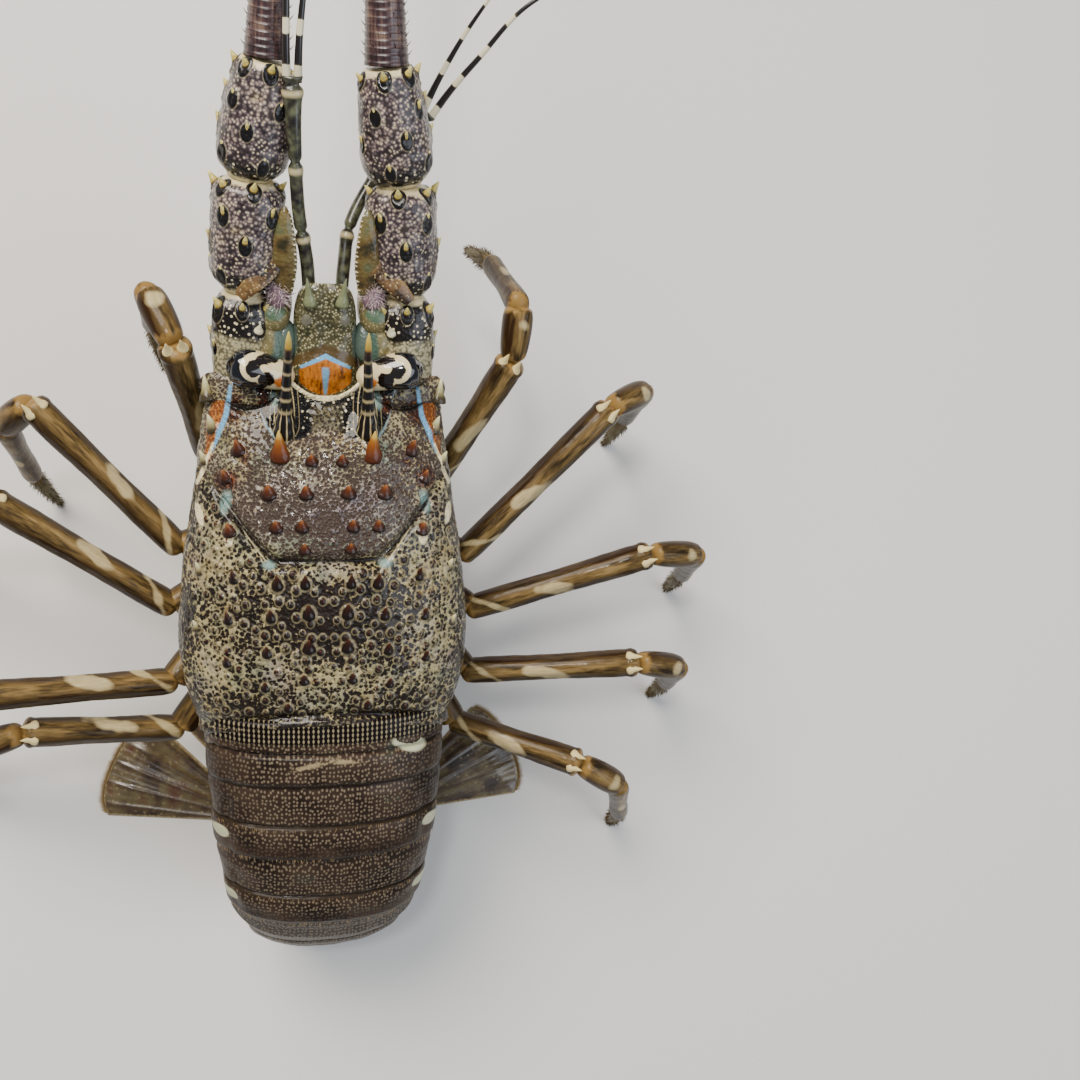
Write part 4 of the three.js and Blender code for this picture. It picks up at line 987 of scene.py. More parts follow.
def whipShell():
    # horny annulated whip, purple brown, satin
    material, add, place = startFinish("whipShell", "place")
    run = add("SeparateXYZ", [place], out="Y")
    cloud = add("TexNoise", {"Vector": place, "Scale": 0.25, "Detail": 3})
    drawnOut = add("Mapping", {"Vector": place, "Scale": (1.6, 0.1, 1.6)})
    streaks = add("TexNoise", {"Vector": drawnOut, "Scale": 1.0})
    turns = add("Math", [run, 2 * math.pi / antenna["ringSpacing"]], operation="MULTIPLY")
    rings = add("Math", [turns], operation="SINE")
    mixed = add("Math", [add("Math", [cloud, streaks], operation="ADD"), 0.5],
                operation="MULTIPLY")
    base = add("ValToRGB", [mixed], {0.36: "#1d1315", 0.48: "#3e2a2d", 0.56: "#5c4540",
                                     0.66: "#7d6654"})
    colour = add("MixRGB", [add("MapRange", [rings, -0.6, -0.95, 0, 0.6]), base, "#120b0c"])
    bump = add("Bump", {"Height": rings, "Distance": 0.00008, "Strength": 0.8})
    endFinish(add, colour, Normal=bump, Roughness=0.36, IOR=1.5, Coat_Weight=0.35,
              Coat_Roughness=0.15)
    return material


def bandedWhip():
    # thin flexible cuticle with black and cream bands
    material, add, place = startFinish("bandedWhip", "place")
    run = add("SeparateXYZ", [place], out="Y")
    turns = add("Math", [run, 2 * math.pi / 9.0], operation="MULTIPLY")
    bands = add("Math", [turns], operation="SINE")
    mottle = add("TexNoise", {"Vector": place, "Scale": 0.5, "Detail": 3})
    banded = add("ValToRGB", [add("Math", [mottle, 0.8, bands], operation="MULTIPLY_ADD")],
                 {0.7: "#191412", 0.95: "#4b4433", 1.0: "#d9cfae"})
    stem = add("ValToRGB", [mottle], {0.35: "#191512", 0.5: "#3a3a2c", 0.7: "#5f6147"})
    colour = layered(add, banded, [("stem", stem), ("cream", "#c9b98c", 0.3)])
    bump = add("Bump", {"Height": bands, "Distance": 0.00005, "Strength": 0.5})
    endFinish(add, colour, Normal=bump, Roughness=0.3, IOR=1.48, Coat_Weight=0.4,
              Coat_Roughness=0.12)
    return material


def jointPiece(side, index):
    start, end = mirrored(antenna["joints"][index:index + 2], side)
    aim = unit(end - start)
    shape = antenna["shapes"][index]
    t = np.linspace(0, 1, antenna["rows"])
    path = start + (end - start) * (0.005 + 0.99 * t)[:, None]
    across, deep = profile(shape, t).T
    rings, marks = tube(path, across, deep, antenna["around"], square=0.9)
    outward = unit(np.cross(aim, (0, 0, 1))) * side
    top = np.cross(outward, aim) * side
    foot = allOver(rings, -9.0)
    thorns = []
    for at, turn, length in antenna["thorns"][index]:
        halves = profile(shape, at)
        sine, cosine = math.sin(math.radians(turn)), math.cos(math.radians(turn))
        root = (start + (end - start) * at + outward * sine * halves[0] * 0.93
                + top * cosine * halves[1] * 0.93)
        away = rings - root + aim * length * 0.16
        along = away @ aim
        beside = np.linalg.norm(away - along[..., None] * aim, axis=-1)
        foot = np.maximum(foot, length * 0.62 - np.hypot(beside, along * 0.62))
        lean = outward * sine + top * cosine
        thorns.append(thorn(root, lean * 0.75 + aim, length, length * 0.36, 16, 14))
    # the first joint is dark and dotted ahead and pale behind, next to the eye
    dark = (t - 0.66) * 28 if index == 0 else (0.2 - t) * 22
    ends = 0.9 - np.minimum(t, 1 - t) * np.linalg.norm(end - start)
    blank = allOver(rings, 0.0)
    marks |= {"place": rings, "foot": foot, "ring": foot + 0.3, "cream": ends[:, None] + blank,
              "dark": dark[:, None] + blank, "pale": blank + (3 if index == 0 else -9)}
    swell = 0.45 * bell(foot - 0.4, 0.5)
    rings = raised(rings, swell + 0.35 * hillNoise(rings, 6) + 0.14 * (0.6 - grainNoise(rings, 1.4)))
    return [closed(rings, marks)] + thorns


def padPieces(side):
    parts = []
    for centre, radii, tone, oval in antenna["pads"]:
        part = blob(mirrored(centre, side), radii, 30, 40, olive=3)
        if tone:
            x, y, _ = (part["points"] * [side, 1, 1] - centre).T
            part["marks"][tone] = ovalField(x, y, oval) if oval else 0 * x + 3
        parts.append(part)
    foot, aim, length, radius = antenna["tooth"]
    parts.append(thorn(mirrored(foot, side), mirrored(aim, side), length, radius, 12, 10,
                       chalk=1))
    centre, radii = antenna["pads"][2][:2]
    count = antenna["tuftHairs"]
    aim = unit(dice.normal(size=(count, 3)) + [0, 0.5, 1.2])
    aim[:, 2] = abs(aim[:, 2])
    feet = mirrored(centre, side) + aim * radii
    parts.append(bristles(feet, aim + dice.normal(size=aim.shape) * 0.5,
                          dice.uniform(1.2, 2.6, count), 0.07, 0.3, hair=1))
    # the flat scale inside the second joint, with a beaded edge
    rings, marks = smoothTube(mirrored(antenna["innerScale"], side), 60, 36)
    inward = -side * np.cos(marks["turn"]) * np.sign(rings[-1, 0, 1] - rings[0, 0, 1])
    edge = bell(np.degrees(np.arccos(np.clip(inward, -1, 1))) - 24, 20)
    beads = np.sin(marks["place"][..., 1] * 2 * math.pi / antenna["beadSpacing"])
    bead = edge * np.maximum(beads, 0)
    rings = raised(rings, 0.35 * bead)
    parts.append(closed(rings, {"scale": allOver(rings, 3), "bead": bead - 0.4, "place": rings}))
    # the glossy skin that shows between the first and second joints
    rings, _ = smoothTube(mirrored(antenna["strap"], side), 50, 30)
    parts.append(closed(rings, {"scale": allOver(rings, 3), "strap": allOver(rings, 1),
                                "place": rings}))
    return parts


def buildAntennae():
    peduncle, whip = peduncleShell(), whipShell()
    length, split, cut, bends = (antenna[key] for key in ("length", "split", "cut", "bends"))
    for name, side in sides.items():
        for index, label in enumerate(("base", "second", "third")):
            parts = jointPiece(side, index) + (padPieces(side) if index == 0 else [])
            buildPiece(f"antenna_{label}_joint_{name}", placed(parts), peduncle,
                       f"antenna_{label}_{name}")
        points = [toWorld(mirrored(antenna["joints"][3], side))]
        for i in range(bends):
            t = i / (bends - 1)
            rise = math.radians(antenna["rise"] * (1 - 1.45 * t))
            spread = side * math.radians(-4 + 30 * t ** 1.3)
            points.append(points[-1] + np.array([
                math.sin(spread) * math.cos(rise), math.cos(spread) * math.cos(rise),
                math.sin(rise)]) * length / bends)
        steps = np.linspace(0, 1, 201)
        run = runAlong(curvePoints(points, steps))
        for label, first, last in (("near", 0.0015, split - cut), ("far", split + cut, 1)):
            rows, around, every, spinule = antenna["whipDetail"][label]
            shares = np.linspace(first, last, rows)
            radius = profile(antenna["whip"], shares)
            path = curvePoints(points, np.interp(shares * run[-1], run, steps))
            rings, marks = tube(path, radius, radius, around)
            turns = shares * length * 2 * math.pi / antenna["ringSpacing"]
            pleat = 1 - 0.05 * np.maximum(0, np.cos(turns)) ** 4
            rings = path[:, None] + (rings - path[:, None]) * pleat[:, None, None]
            marks["place"] = marks["place"] + [0, first * length, 0]
            # rows of fine spinules that point to the tip
            row, spot = np.array([(row, spot) for row in range(6, rows - 6, every)
                                  for spot in range(row % 3, around, 5)]).T
            out = rings[row, spot] - path[row]
            aims = unit(out) * 0.8 + unit(np.gradient(path, axis=0))[row]
            spinules = bristles(path[row] + out * 0.95, aims, 0.25 * radius[row] + 0.55,
                                spinule, 0)
            buildPiece(f"antennaWhip_{label}_{name}", [closed(rings, marks), spinules], whip,
                       f"flagellum_{label}_{name}")


# Antennules: a thin jointed stem and two banded whips on each side
antennules = {
    "left": {
        "stem": [(-3.6, 112, -13), (-4.2, 122, -9), (-6.2, 134, -3), (-7.2, 150, 4.5),
                 (-7.6, 161, 9)],
        "outer": [(-8.8, 160, 8), (-8.8, 169, 11.5), (-8.4, 185, 15), (-6, 205, 18),
                  (-10, 228, 22)],
        "inner": [(-6.4, 160, 8), (-6, 169, 12), (-4, 183, 16), (2, 200, 20)]},
    "right": {
        "stem": [(3.6, 112, -13), (4.4, 122, -13), (6, 132, -14), (14, 146, -17),
                 (24, 158, -13)],
        "outer": [(24.4, 156.6, -13.4), (29, 163, -10.5), (35, 170, -6), (44, 180, 0),
                  (62, 190, 6)],
        "inner": [(22.8, 158.2, -13.4), (26, 165, -10.5), (31, 174, -6), (37, 183, 0)]},
}
antennuleSizes = {
    "stem": [(1.5, 1.5), (1.6, 1.6), (1.5, 1.5), (1.6, 1.5), (2.3, 1.4)],
    "whip": (0.95, 0.35), "joints": (0.36, 0.66, 0.97),
}


def buildAntennules():
    finish = bandedWhip()
    for name, forms in antennules.items():
        stations = [p + h for p, h in zip(forms["stem"], antennuleSizes["stem"])]
        rings, marks = smoothTube(stations, 130, 24)
        pinch, swell = (sum(bell(marks["share"] - at + ahead, width)
                            for at in antennuleSizes["joints"])
                        for ahead, width in ((0, 0.012), (0.035, 0.02)))
        rings = swollen(rings, 1 - 0.35 * pinch + 0.16 * swell)
        marks["cream"] = swell - 0.75
        stem = withMarks(closed(rings, marks), stem=1)
        buildPiece(f"antennuleStem_{name}", placed([stem]), finish, f"antennule_stem_{name}")
        for label in ("outer", "inner"):
            halves = np.linspace(*antennuleSizes["whip"], len(forms[label]))
            stations = np.column_stack([forms[label], halves])
            buildPiece(f"antennuleWhip_{label}_{name}",
                       placed([closed(*smoothTube(stations, 160, 14))]), finish,
                       f"antennule_{label}_{name}")


buildAntennae()
buildAntennules()
print("Stage: antennae are built")


# Tail: six arched rings that roll under each other, then the fan
tail = {
    "halfWidths": (29.5, 30, 28.3, 25.6, 22.8, 20.4, 17.6),
    "arches": (15, 15, 14.6, 14, 13, 11.5, 7.4),
    # share of the ring, depth of its side lobe, how far the surface is sunk
    "form": [(0, 0.1, 0), (0.08, 0.1, 0), (0.36, 0.5, 0), (0.44, 0.62, 0.15), (0.48, 0.7, 1.1),
             (0.52, 0.82, 0.15), (0.6, 0.95, 0), (0.8, 1, 0), (0.94, 0.45, 0.1),
             (1, 0.15, 0.45)],
    # the paddle under a ring's side: out, share of the length, share of the arch, half sizes
    "paddle": [(13, 0.5, 0.3, 3, 1), (14, 0.55, 0.85, 5, 0.8), (13.4, 0.58, 1.15, 3.6, 0.55),
               (13, 0.6, 1.25, 1.4, 0.3)],
    "arcPoints": 150, "rows": 74, "floorClearance": 0.4, "hairs": 110, "dotSpacing": 0.98,
}


def ringOutline(half, arch, y, sink, lobe, roll):
    turn = np.radians(np.linspace(-88, 88, tail["arcPoints"]))
    arc = np.stack([(half - sink) * np.sign(turn) * abs(np.sin(turn)) ** 0.85,
                    (arch - sink) * np.cos(turn) ** 0.9], -1)
    tip = np.array([half - sink - 0.8, -0.5 * arch - 0.5 - lobe * arch * 0.8])
    inner = np.array([half - 4.6, -0.5 * arch])
    t, flip = np.linspace(0, 1, 16)[1:-1, None], [-1, 1]
    down = arc[-1] + (tip - arc[-1]) * t + np.sin(t * np.pi) * [0.5, 0]
    under = tip + (inner - tip) * np.linspace(0, 1, 9)[:, None]
    floorLine = inner + (inner * flip - inner) * np.linspace(0, 1, 20)[1:-1, None]
    line = np.vstack([(under * flip)[::-1], (down * flip)[::-1], arc, down, under, floorLine])
    x, z = line.T
    return np.stack([x, y + (2 + np.maximum(z, 0)) * math.sin(roll),
                     np.where(z > 0, z * math.cos(roll), z)], -1)


def tailRing(i):
    length = posture["lengths"][i]
    half, halfNext = tail["halfWidths"][i:i + 2]
    arch, archNext = tail["arches"][i:i + 2]
    start, over = (4, 1.5) if i == 0 else (-2.5, 0 if i == 5 else 1.5)
    if i == 0:
        rows = [(half, arch, start + 1, 1.0, 0, 0), (half, arch, start + 0.6, 0.3, 0, 0)]
    else:
        rows = [(half - 1.4, arch - 1.3, 0, 0, 0, math.radians(turn))
                for turn in np.linspace(60, 0, 12)]
    lead = len(rows)
    for t in np.linspace(0.0 if i == 0 else 0.05, 1, tail["rows"]):
        lobe, sink = profile(tail["form"], t)
        rows.append((half + (halfNext - half) * t, arch + (archNext - arch) * t,
                     start + (-length - over - start) * t, sink, lobe * (0.3 if i == 0 else 1), 0))
    rings = np.array([ringOutline(*row) for row in rows])
    t = np.concatenate([np.full(lead, -0.1), np.linspace(0, 1, tail["rows"])])
    share = t[:, None] + allOver(rings, 0.0)
    x, y, z = np.moveaxis(rings, -1, 0)
    upper = z > -2
    arcLength = np.where(upper, np.sign(x) * np.hypot(x, 0.55 * (arch - z)), x)
    blank = allOver(rings, -9.0)
    marks = {
        "place": np.stack([arcLength, y + 40 * i, np.zeros_like(x)], -1),
        "groove": np.where(upper, 0.55 - abs(share - 0.48) * length, -9),
        "edge": np.where(upper, (share - 0.955) * length, -9),
        "cream": np.where(z > -6, ovalField(abs(x), share * length, (
            half - 3.4, 0.66 * length, 2.0, 1.9, 0)), -9),
        "smooth": np.where(upper & (share > 0), (share - 0.74) * length, -9),
        "ridged": blank,
    }
    if i == 0:
        # close-set ridges just behind the carapace
        marks |= {
            "groove": blank, "smooth": blank, "ridged": np.where(upper, y + 1.2, -9),
            "lens": np.where(upper, ovalField(x, y, (-4.6, -6.6, 4.0, 0.6, 14),
                                              (3.6, -5.6, 3.2, 0.5, -6)), -9),
            "cream": np.where(upper, ovalField(x, y, (20.5, -3, 4.6, 2.0, -20)) - 2.2 * (
                ovalField(x, y, (20, -1.2, 3.4, 1.8, -20)) > 0), -9)}
    ridges = 0.16 * np.cos(arcLength * 2 * math.pi / 1.2) * smoothStep(-0.5, 0.5,
                                                                      marks["ridged"])
    step = 0.35 * smoothStep(0.5, 0.62, share) * smoothStep(0.98, 0.9, share)
    height = np.where(upper, ridges + step + 0.3 * hillNoise(rings + 90 * i, 9)
                      - 0.35 * bell(abs(x) - half * 0.83, 1.3) * (share > 0.1), 0)
    rings = raised(rings, height * (share > -0.05))
    lip = rings[-1:].mean(axis=1, keepdims=True)
    hem = [lip + (rings[-1:] - lip) * scale + [0, shift, 0]
           for scale, shift in ((0.985, -0.25), (0.955, -0.05), (0.93, 0.9))]
    marks = {key: np.concatenate([v, np.repeat(v[-1:], 3, 0)]) for key, v in marks.items()}
    return np.concatenate([rings, *hem]), marks, lead


def tailShell():
    # smooth polished cuticle, dark brown with close rows of pale dots
    material, add, place, smooth = startFinish("tailShell", "place", "smooth")
    cloud = add("TexNoise", {"Vector": place, "Scale": 0.09, "Detail": 4})
    drawnOut = add("Mapping", {"Vector": place, "Scale": (1.0, 0.8, 1)})
    dots = add("TexVoronoi", {"Vector": drawnOut, "Scale": 1 / tail["dotSpacing"],
                              "Randomness": 0.62}, voronoi_dimensions="2D")
    grain = add("TexNoise", {"Vector": place, "Scale": 1.4, "Detail": 3})
    base = add("ValToRGB", [cloud], {0.35: "#1d1511", 0.5: "#30251e", 0.62: "#3b2f26",
                                     0.72: "#37372e"})
    size = add("Math", [cloud, 0.14, dots], operation="MULTIPLY_ADD")
    dotted = add("MapRange", [size, 0.42, 0.27, 0, 0.52])
    # the dots fade toward the hind edge and the sides
    across, run = (add("SeparateXYZ", [place], out=axis) for axis in "XY")
    aside = add("Math", [across], operation="ABSOLUTE")
    fade = add("Math", [add("MapRange", [smooth, -1, 1.5, 1, 0.25]),
                        add("MapRange", [aside, 15, 27, 1, 0.3])], operation="MULTIPLY")
    amount = add("Math", [dotted, fade], operation="MULTIPLY")
    colour = add("MixRGB", [amount, base, add("MixRGB", [grain, "#6f6150", "#a39378"])])
    # bars behind the carapace, broken into rows of beads
    bars, rows = (add("Math", [add("Math", [along, 2 * math.pi / spacing],
                                   operation="MULTIPLY")], operation="COSINE")
                  for along, spacing in ((across, 1.2), (run, 1.3)))
    barred = add("ValToRGB", [add("Math", [rows, 0.45, bars], operation="MULTIPLY_ADD")],
                 {0.35: "#0d0908", 0.95: "#85795f"})
    wobble = add("Math", [grain, 1.6, -0.8], operation="MULTIPLY_ADD")
    colour = layered(add, colour, [
        ("ridged", barred, 0.5, wobble), ("groove", "#2e241a", 0.25, wobble),
        ("edge", "#261c14", 0.3, wobble), ("lens", "#8f8062", 0.25, wobble),
        ("cream", "#b5b595", 0.25), ("hair", "#a58a63")])
    rise = add("Math", [dotted, 0.6, grain], operation="MULTIPLY_ADD")
    bump = add("Bump", {"Height": rise, "Distance": 0.00008, "Strength": 0.5})
    endFinish(add, colour, Normal=bump, Roughness=0.42, IOR=1.45, Specular_IOR_Level=0.12,
              Coat_Weight=0.08, Coat_Roughness=0.06)
    return material


def fanMembrane():
    # thin horny blade, olive brown and a little see-through, stiffened by rays
    material, add, place = startFinish("fanMembrane", "place")
    cloud = add("TexNoise", {"Vector": place, "Scale": 0.11, "Detail": 4})
    fine = add("TexNoise", {"Vector": place, "Scale": 1.3, "Detail": 3})
    base = add("ValToRGB", [cloud], {0.36: "#2b1f16", 0.46: "#4a3b28", 0.56: "#655a3c",
                                     0.68: "#553423"})
    spots = add("TexVoronoi", {"Vector": place, "Scale": 1 / 2.0})
    colour = add("MixRGB", [add("MapRange", [spots, 0.25, 0.15, 0, 0.25]), base, "#b8a880"])
    wobble = add("Math", [fine, 1.4, -0.7], operation="MULTIPLY_ADD")
    colour = layered(add, colour, [("ray", "#3d2a1b", 0.6, wobble), ("rim", "#a39069", 0.3, wobble),
                                   ("hair", "#9a7c50")])
    bump = add("Bump", {"Height": fine, "Distance": 0.00012, "Strength": 0.5})
    endFinish(add, colour, Normal=bump, Roughness=0.3, IOR=1.48, Coat_Weight=0.4,
              Coat_Roughness=0.1, Subsurface_Weight=0.25, Subsurface_Radius=(2.0, 1.2, 0.6),
              Subsurface_Scale=0.001)
    return material


fan = {
    "thick": 1.8, "edge": 0.8, "hairs": 260,
    "inner": {"pivot": (13.5, 0), "from": 5, "to": 42, "radius": 46, "rays": 5,
              "root": ((15.4, 7, 2.4), (2.6, 4, 2.4))},
    "outer": {"pivot": (16, -1), "from": 45, "to": 84, "radius": 50, "rays": 5,
              "root": ((18.5, 0.5, 4.2), (5, 5.2, 4.2))},
    # distance ahead of the telson's hinge, half width
    "telson": [(1, 10.5), (8, 11), (20, 11.9), (34, 12.5), (38, 11.6), (40.6, 9.4), (42, 4.5),
               (42.2, 0.5)],
    "telsonLength": 42.2, "telsonRays": (-7.6, -2.6, 2.6, 7.6), "knuckle": (13, 5.6, 5.4),
}


def bladePart(x, y, border, slope, relief, nearRay, rim):
    # a flat blade on the floor, thinner at its border
    thick = fan["edge"] + (fan["thick"] - fan["edge"]) * smoothStep(0, slope, border)
    top = thick * np.sqrt(np.clip(border / 0.7, 0.02, 1)) + relief
    halves = [(np.stack([x, y, top], -1), np.stack([x, y, 0 * x], -1)),
              (0.3 - nearRay, 0.3 - nearRay), (rim - border, rim - border)]
    rings, ray, edge = (np.concatenate([upper, lower[:, ::-1]], axis=1)
                        for upper, lower in halves)
    return closed(rings, {"place": rings, "ray": ray, "rim": edge})


def fanBlade(form, side):
    (px, py), count = form["pivot"], fan["hairs"]
    turn = np.linspace(form["from"], form["to"], 90)
    far = form["radius"] * (1 - 0.06 * np.linspace(-1, 1, 90) ** 4)
    share, angle = np.linspace(0, 1, 64), np.radians(turn)[:, None]
    reach = 3 + (far - 3)[:, None] * share
    rayTurns = np.radians(np.linspace(form["from"], form["to"], form["rays"] * 2 + 1)[1::2])
    nearRay = np.min([abs(angle - r) * reach for r in rayTurns], axis=0)
    ray = bell(nearRay, 0.8) * smoothStep(0.12, 0.2, share) * smoothStep(1.0, 0.9, share)
    striae = 0.07 * np.cos(angle * 150) * smoothStep(0.45, 0.8, share)
    border = np.minimum((1 - share) * far[:, None],
                        np.minimum(angle - angle[0], angle[-1] - angle) * reach)
    blade = bladePart(side * (px + reach * np.sin(angle)), fanRoot[1] + py + reach * np.cos(angle),
                      border, 9, 0.28 * ray + 0.5 * striae, nearRay, 0.55)
    (cx, cy, cz), radii = form["root"]
    root = blob((side * cx, fanRoot[1] + cy, cz), radii, 24, 32)
    # a fringe of soft hairs along the far edge
    hairTurn = np.radians(np.linspace(form["from"] + 1, form["to"] - 1, count))
    hairFar = np.interp(np.degrees(hairTurn), turn, far) - 0.4
    aims = np.stack([side * np.sin(hairTurn), np.cos(hairTurn), np.full(count, 0.05)], -1)
    feet = np.stack([side * (px + hairFar * np.sin(hairTurn)),
                     fanRoot[1] + py + hairFar * np.cos(hairTurn), np.full(count, 0.45)], -1)
    hairs = bristles(feet, aims, dice.uniform(1.2, 2.2, count), 0.08, 0, hair=1)
    return [blade, *keptAbove([root]), hairs]


def telsonParts():
    ahead = np.linspace(0, 1, 80)[:, None] ** 0.85 * (fan["telsonLength"] - 1) + 1
    half = profile(fan["telson"], ahead[:, 0])[:, None]
    x = half * np.linspace(-1, 1, 72)
    border = np.minimum(half - abs(x), fan["telsonLength"] - ahead)
    nearRay = np.min([abs(x - r * (0.62 + 0.38 * ahead / 42)) for r in fan["telsonRays"]], axis=0)
    ray = bell(nearRay, 0.8) * smoothStep(3, 6, ahead) * smoothStep(0.6, 2.5, border)
    blade = bladePart(x, fanRoot[1] + ahead + 0 * x, border, 8, 0.5 * ray, nearRay, 0.5)
    knuckle = blob((0, fanRoot[1], fanRoot[2] - 1.6), fan["knuckle"], 30, 48)
    return [blade, *keptAbove([knuckle])]


def buildTail():
    shell, membrane = tailShell(), fanMembrane()
    count = tail["hairs"]
    for i in range(6):
        rings, marks, lead = tailRing(i)
        length, arch = posture["lengths"][i], tail["arches"][i]
        world, inRing = fromRing(rings, i), partial(fromRing, i=i)
        world[..., 2] = np.maximum(world[..., 2], tail["floorClearance"])
        paddles, hairs = [], []
        for side in (-1, 1) if 0 < i < 5 else ():
            stations = [(side * x, -length * y, -arch * z, across, deep)
                        for x, y, z, across, deep in tail["paddle"]]
            paddles.append(closed(*smoothTube(stations, 30, 24, (0, 1, 0))))
        # soft hairs in the groove and along the hind edge
        for row in (lead + int(0.49 * tail["rows"]), lead + tail["rows"] - 3) if i > 0 else ():
            spots = dice.choice(np.arange(26, rings.shape[1] - 44, 1), count)
            feet = rings[row, spots] + dice.normal(size=(count, 3)) * [0.3, 0.15, 0]
            aims = np.array([0, -1.0, 0.25]) + dice.normal(size=(count, 3)) * 0.2
            hairs.append(bristles(feet, aims, dice.uniform(0.7, 1.3, count), 0.05, 0, hair=1))
        parts = [closed(world, marks), *placed(paddles, inRing),
                 *keptAbove(placed(hairs, inRing), tail["floorClearance"])]
        buildPiece(f"tailRing_{i + 1}", parts, shell, f"abdomen_{i + 1}")
    for name, side in sides.items():
        for label in ("inner", "outer"):
            buildPiece(f"fanBlade_{label}_{name}", fanBlade(fan[label], side), membrane,
                       f"uropod_{label}_{name}")
    buildPiece("telsonBlade", telsonParts(), membrane, "telson")


buildTail()
print("Stage: tail and fan are built")


# Legs: in the world's frame, the thigh's start, knee, wrist, ankle and tip
legs = {
    "left": [
        [(-29, 86, 67), (-35, 107, 104), (-41, 120, 100), (-43, 121, 63), (-41, 112, 45)],
        [(-36, 61, 62), (-72, 98, 76), (-80, 94, 63), (-80, 86, 23), (-76, 80, -0.8)],
        [(-38, 46, 59), (-82, 74, 74), (-96, 72, 65), (-106, 66, 24), (-108, 62, -0.8)],
        [(-38, 27, 55), (-86, 25, 67), (-100, 20, 57), (-107, 14, 19), (-106, 9, -0.8)],
        [(-37, 14, 46), (-77, 15, 57), (-90, 11, 51), (-101, 1, 19), (-104, -4, -0.8)]],
    "right": [
        [(30, 79, 67), (47, 106, 98), (47.5, 118, 105), (45, 136, 80), (41, 145, 62)],
        [(37, 58, 62), (78, 98, 78), (90, 104, 68), (97, 104, 23), (96, 99, -0.8)],
        [(39, 44, 59), (90, 58, 72), (105, 58, 64), (114, 54, 24), (116, 50, -0.8)],
        [(38, 27, 55), (87, 28, 66), (101, 26, 57), (109, 20, 19), (109, 15, -0.8)],
        [(36, 13, 46), (71, 0, 60), (83, -7, 53), (92, -20, 20), (94, -26, -0.8)]],
    # distance out and forward of each root on the body
    "roots": [(14.5, 66), (16, 54), (18, 42.5), (20.5, 29), (21.5, 14)],
    # share of the segment, half across, half deep
    "coxa": [(0, 3.8, 3.8), (0.5, 4.9, 4.8), (0.85, 4.5, 4.6), (1, 4.1, 4.2)],
    "hip": [(0, 3.7, 3.9), (0.3, 3.8, 4.0), (0.8, 3.9, 4.2), (1, 3.7, 4.0)],
    "thigh": [(0, 3.1, 3.5), (0.1, 3.6, 4.1), (0.5, 3.5, 4.0), (0.86, 3.9, 4.4),
              (1, 3.6, 4.0)],
    "wrist": [(0, 2.9, 3.2), (0.3, 3.6, 3.9), (0.75, 3.8, 4.1), (1, 3.2, 3.5)],
    "shin": [(0, 2.5, 2.9), (0.12, 3.0, 3.4), (0.5, 2.5, 2.9), (0.9, 2.7, 2.9), (1, 2.3, 2.5)],
    "claw": [(0, 2.0, 2.2), (0.2, 2.2, 2.4), (0.55, 1.7, 1.8), (0.85, 0.9, 1.0), (1, 0.25, 0.3)],
    "around": 40, "hairs": 420,
}


def legShell():
    # hard polished cuticle, honey bronze with cream blotches and painted shade as dark bands along
    # each segment's sides, wet gloss
    material, add, place = startFinish("legShell", "place")
    drawnOut = add("Mapping", {"Vector": place, "Scale": (1, 0.16, 1)})
    streak = add("TexNoise", {"Vector": drawnOut, "Scale": 0.42, "Detail": 4, "Roughness": 0.55})
    fineStreak = add("TexNoise", {"Vector": drawnOut, "Scale": 1.8, "Detail": 2})
    cloud = add("TexNoise", {"Vector": place, "Scale": 0.14, "Detail": 2})
    mixed = add("Math", [fineStreak, 0.3, streak], operation="MULTIPLY_ADD")
    base = add("ValToRGB", [mixed], {0.46: "#281e12", 0.56: "#443620", 0.64: "#5f4c2c",
                                     0.74: "#7b643d", 0.86: "#998055"})
    wobble = add("Math", [streak, 7, -3.5], operation="MULTIPLY_ADD")
    wide = add("Math", [cloud, 5, -2.5], operation="MULTIPLY_ADD")
    cream = add("MixRGB", [fineStreak, "#8d7a4e", "#c9b88e"])
    colour = layered(add, base, [
        # painted shade: dark bands along the sides of each segment
        ("stripe", "#2c1c0e", 1.1, wobble), ("blotch", cream, 0.5, wide),
        ("end", "#86693a", 0.6, wobble), ("olive", "#5b5228", 2.5, wobble),
        ("nail", "#2a170a", 0.5), ("thorn", "#d8c48c"), ("hair", "#54421f")])
    bump = add("Bump", {"Height": mixed, "Distance": 0.00015, "Strength": 0.4})
    endFinish(add, colour, Normal=bump, Roughness=0.34, IOR=1.5, Specular_IOR_Level=0.08,
              Coat_Weight=0.12, Coat_Roughness=0.06)
    return material


def legSegment(a, b, shape, rows, shift, bow=(0, 0, 0), caps=(1.6, 1.2), blotch=None):
    # a lofted segment with rounded ends and a slight bow; the shift is its pattern's
    length = np.linalg.norm(b - a)
    ends = np.sin(np.linspace(0, np.pi / 2, 7)) ** 2
    t = np.unique(np.concatenate([ends * caps[0] / length, np.linspace(0, 1, rows),
                                  1 - ends * caps[1] / length]))
    path = a + (b - a) * t[:, None] + np.array(bow) * np.sin(t * np.pi)[:, None]
    across, deep = profile(legs[shape], t).T
    for away, size in zip((t, 1 - t), caps):
        inside = 1 - np.clip(away * length / size, 0, 1)
        cap = np.sqrt(np.maximum(1 - inside ** 2, 0.01))
        across, deep = across * cap, deep * cap
    rings, marks = tube(path, across, deep, legs["around"], square=0.92)
    turn = marks["turn"]
    run, over = (t * length)[:, None] + 0 * turn, np.cos(turn)
    marks |= {"place": marks["place"] + shift, "share": run / length,
              "end": 1.1 - np.minimum(run - caps[0] * 0.4, length - run),
              # painted shade: dark bands along both sides, where the segment turns away from the
              # light
              "stripe": 0.9 - 3.4 * abs(abs(np.cos(turn + 0.25)) - 0.86)}
    if blotch:
        marks["blotch"] = blotch(run, length, over)
    return rings, marks


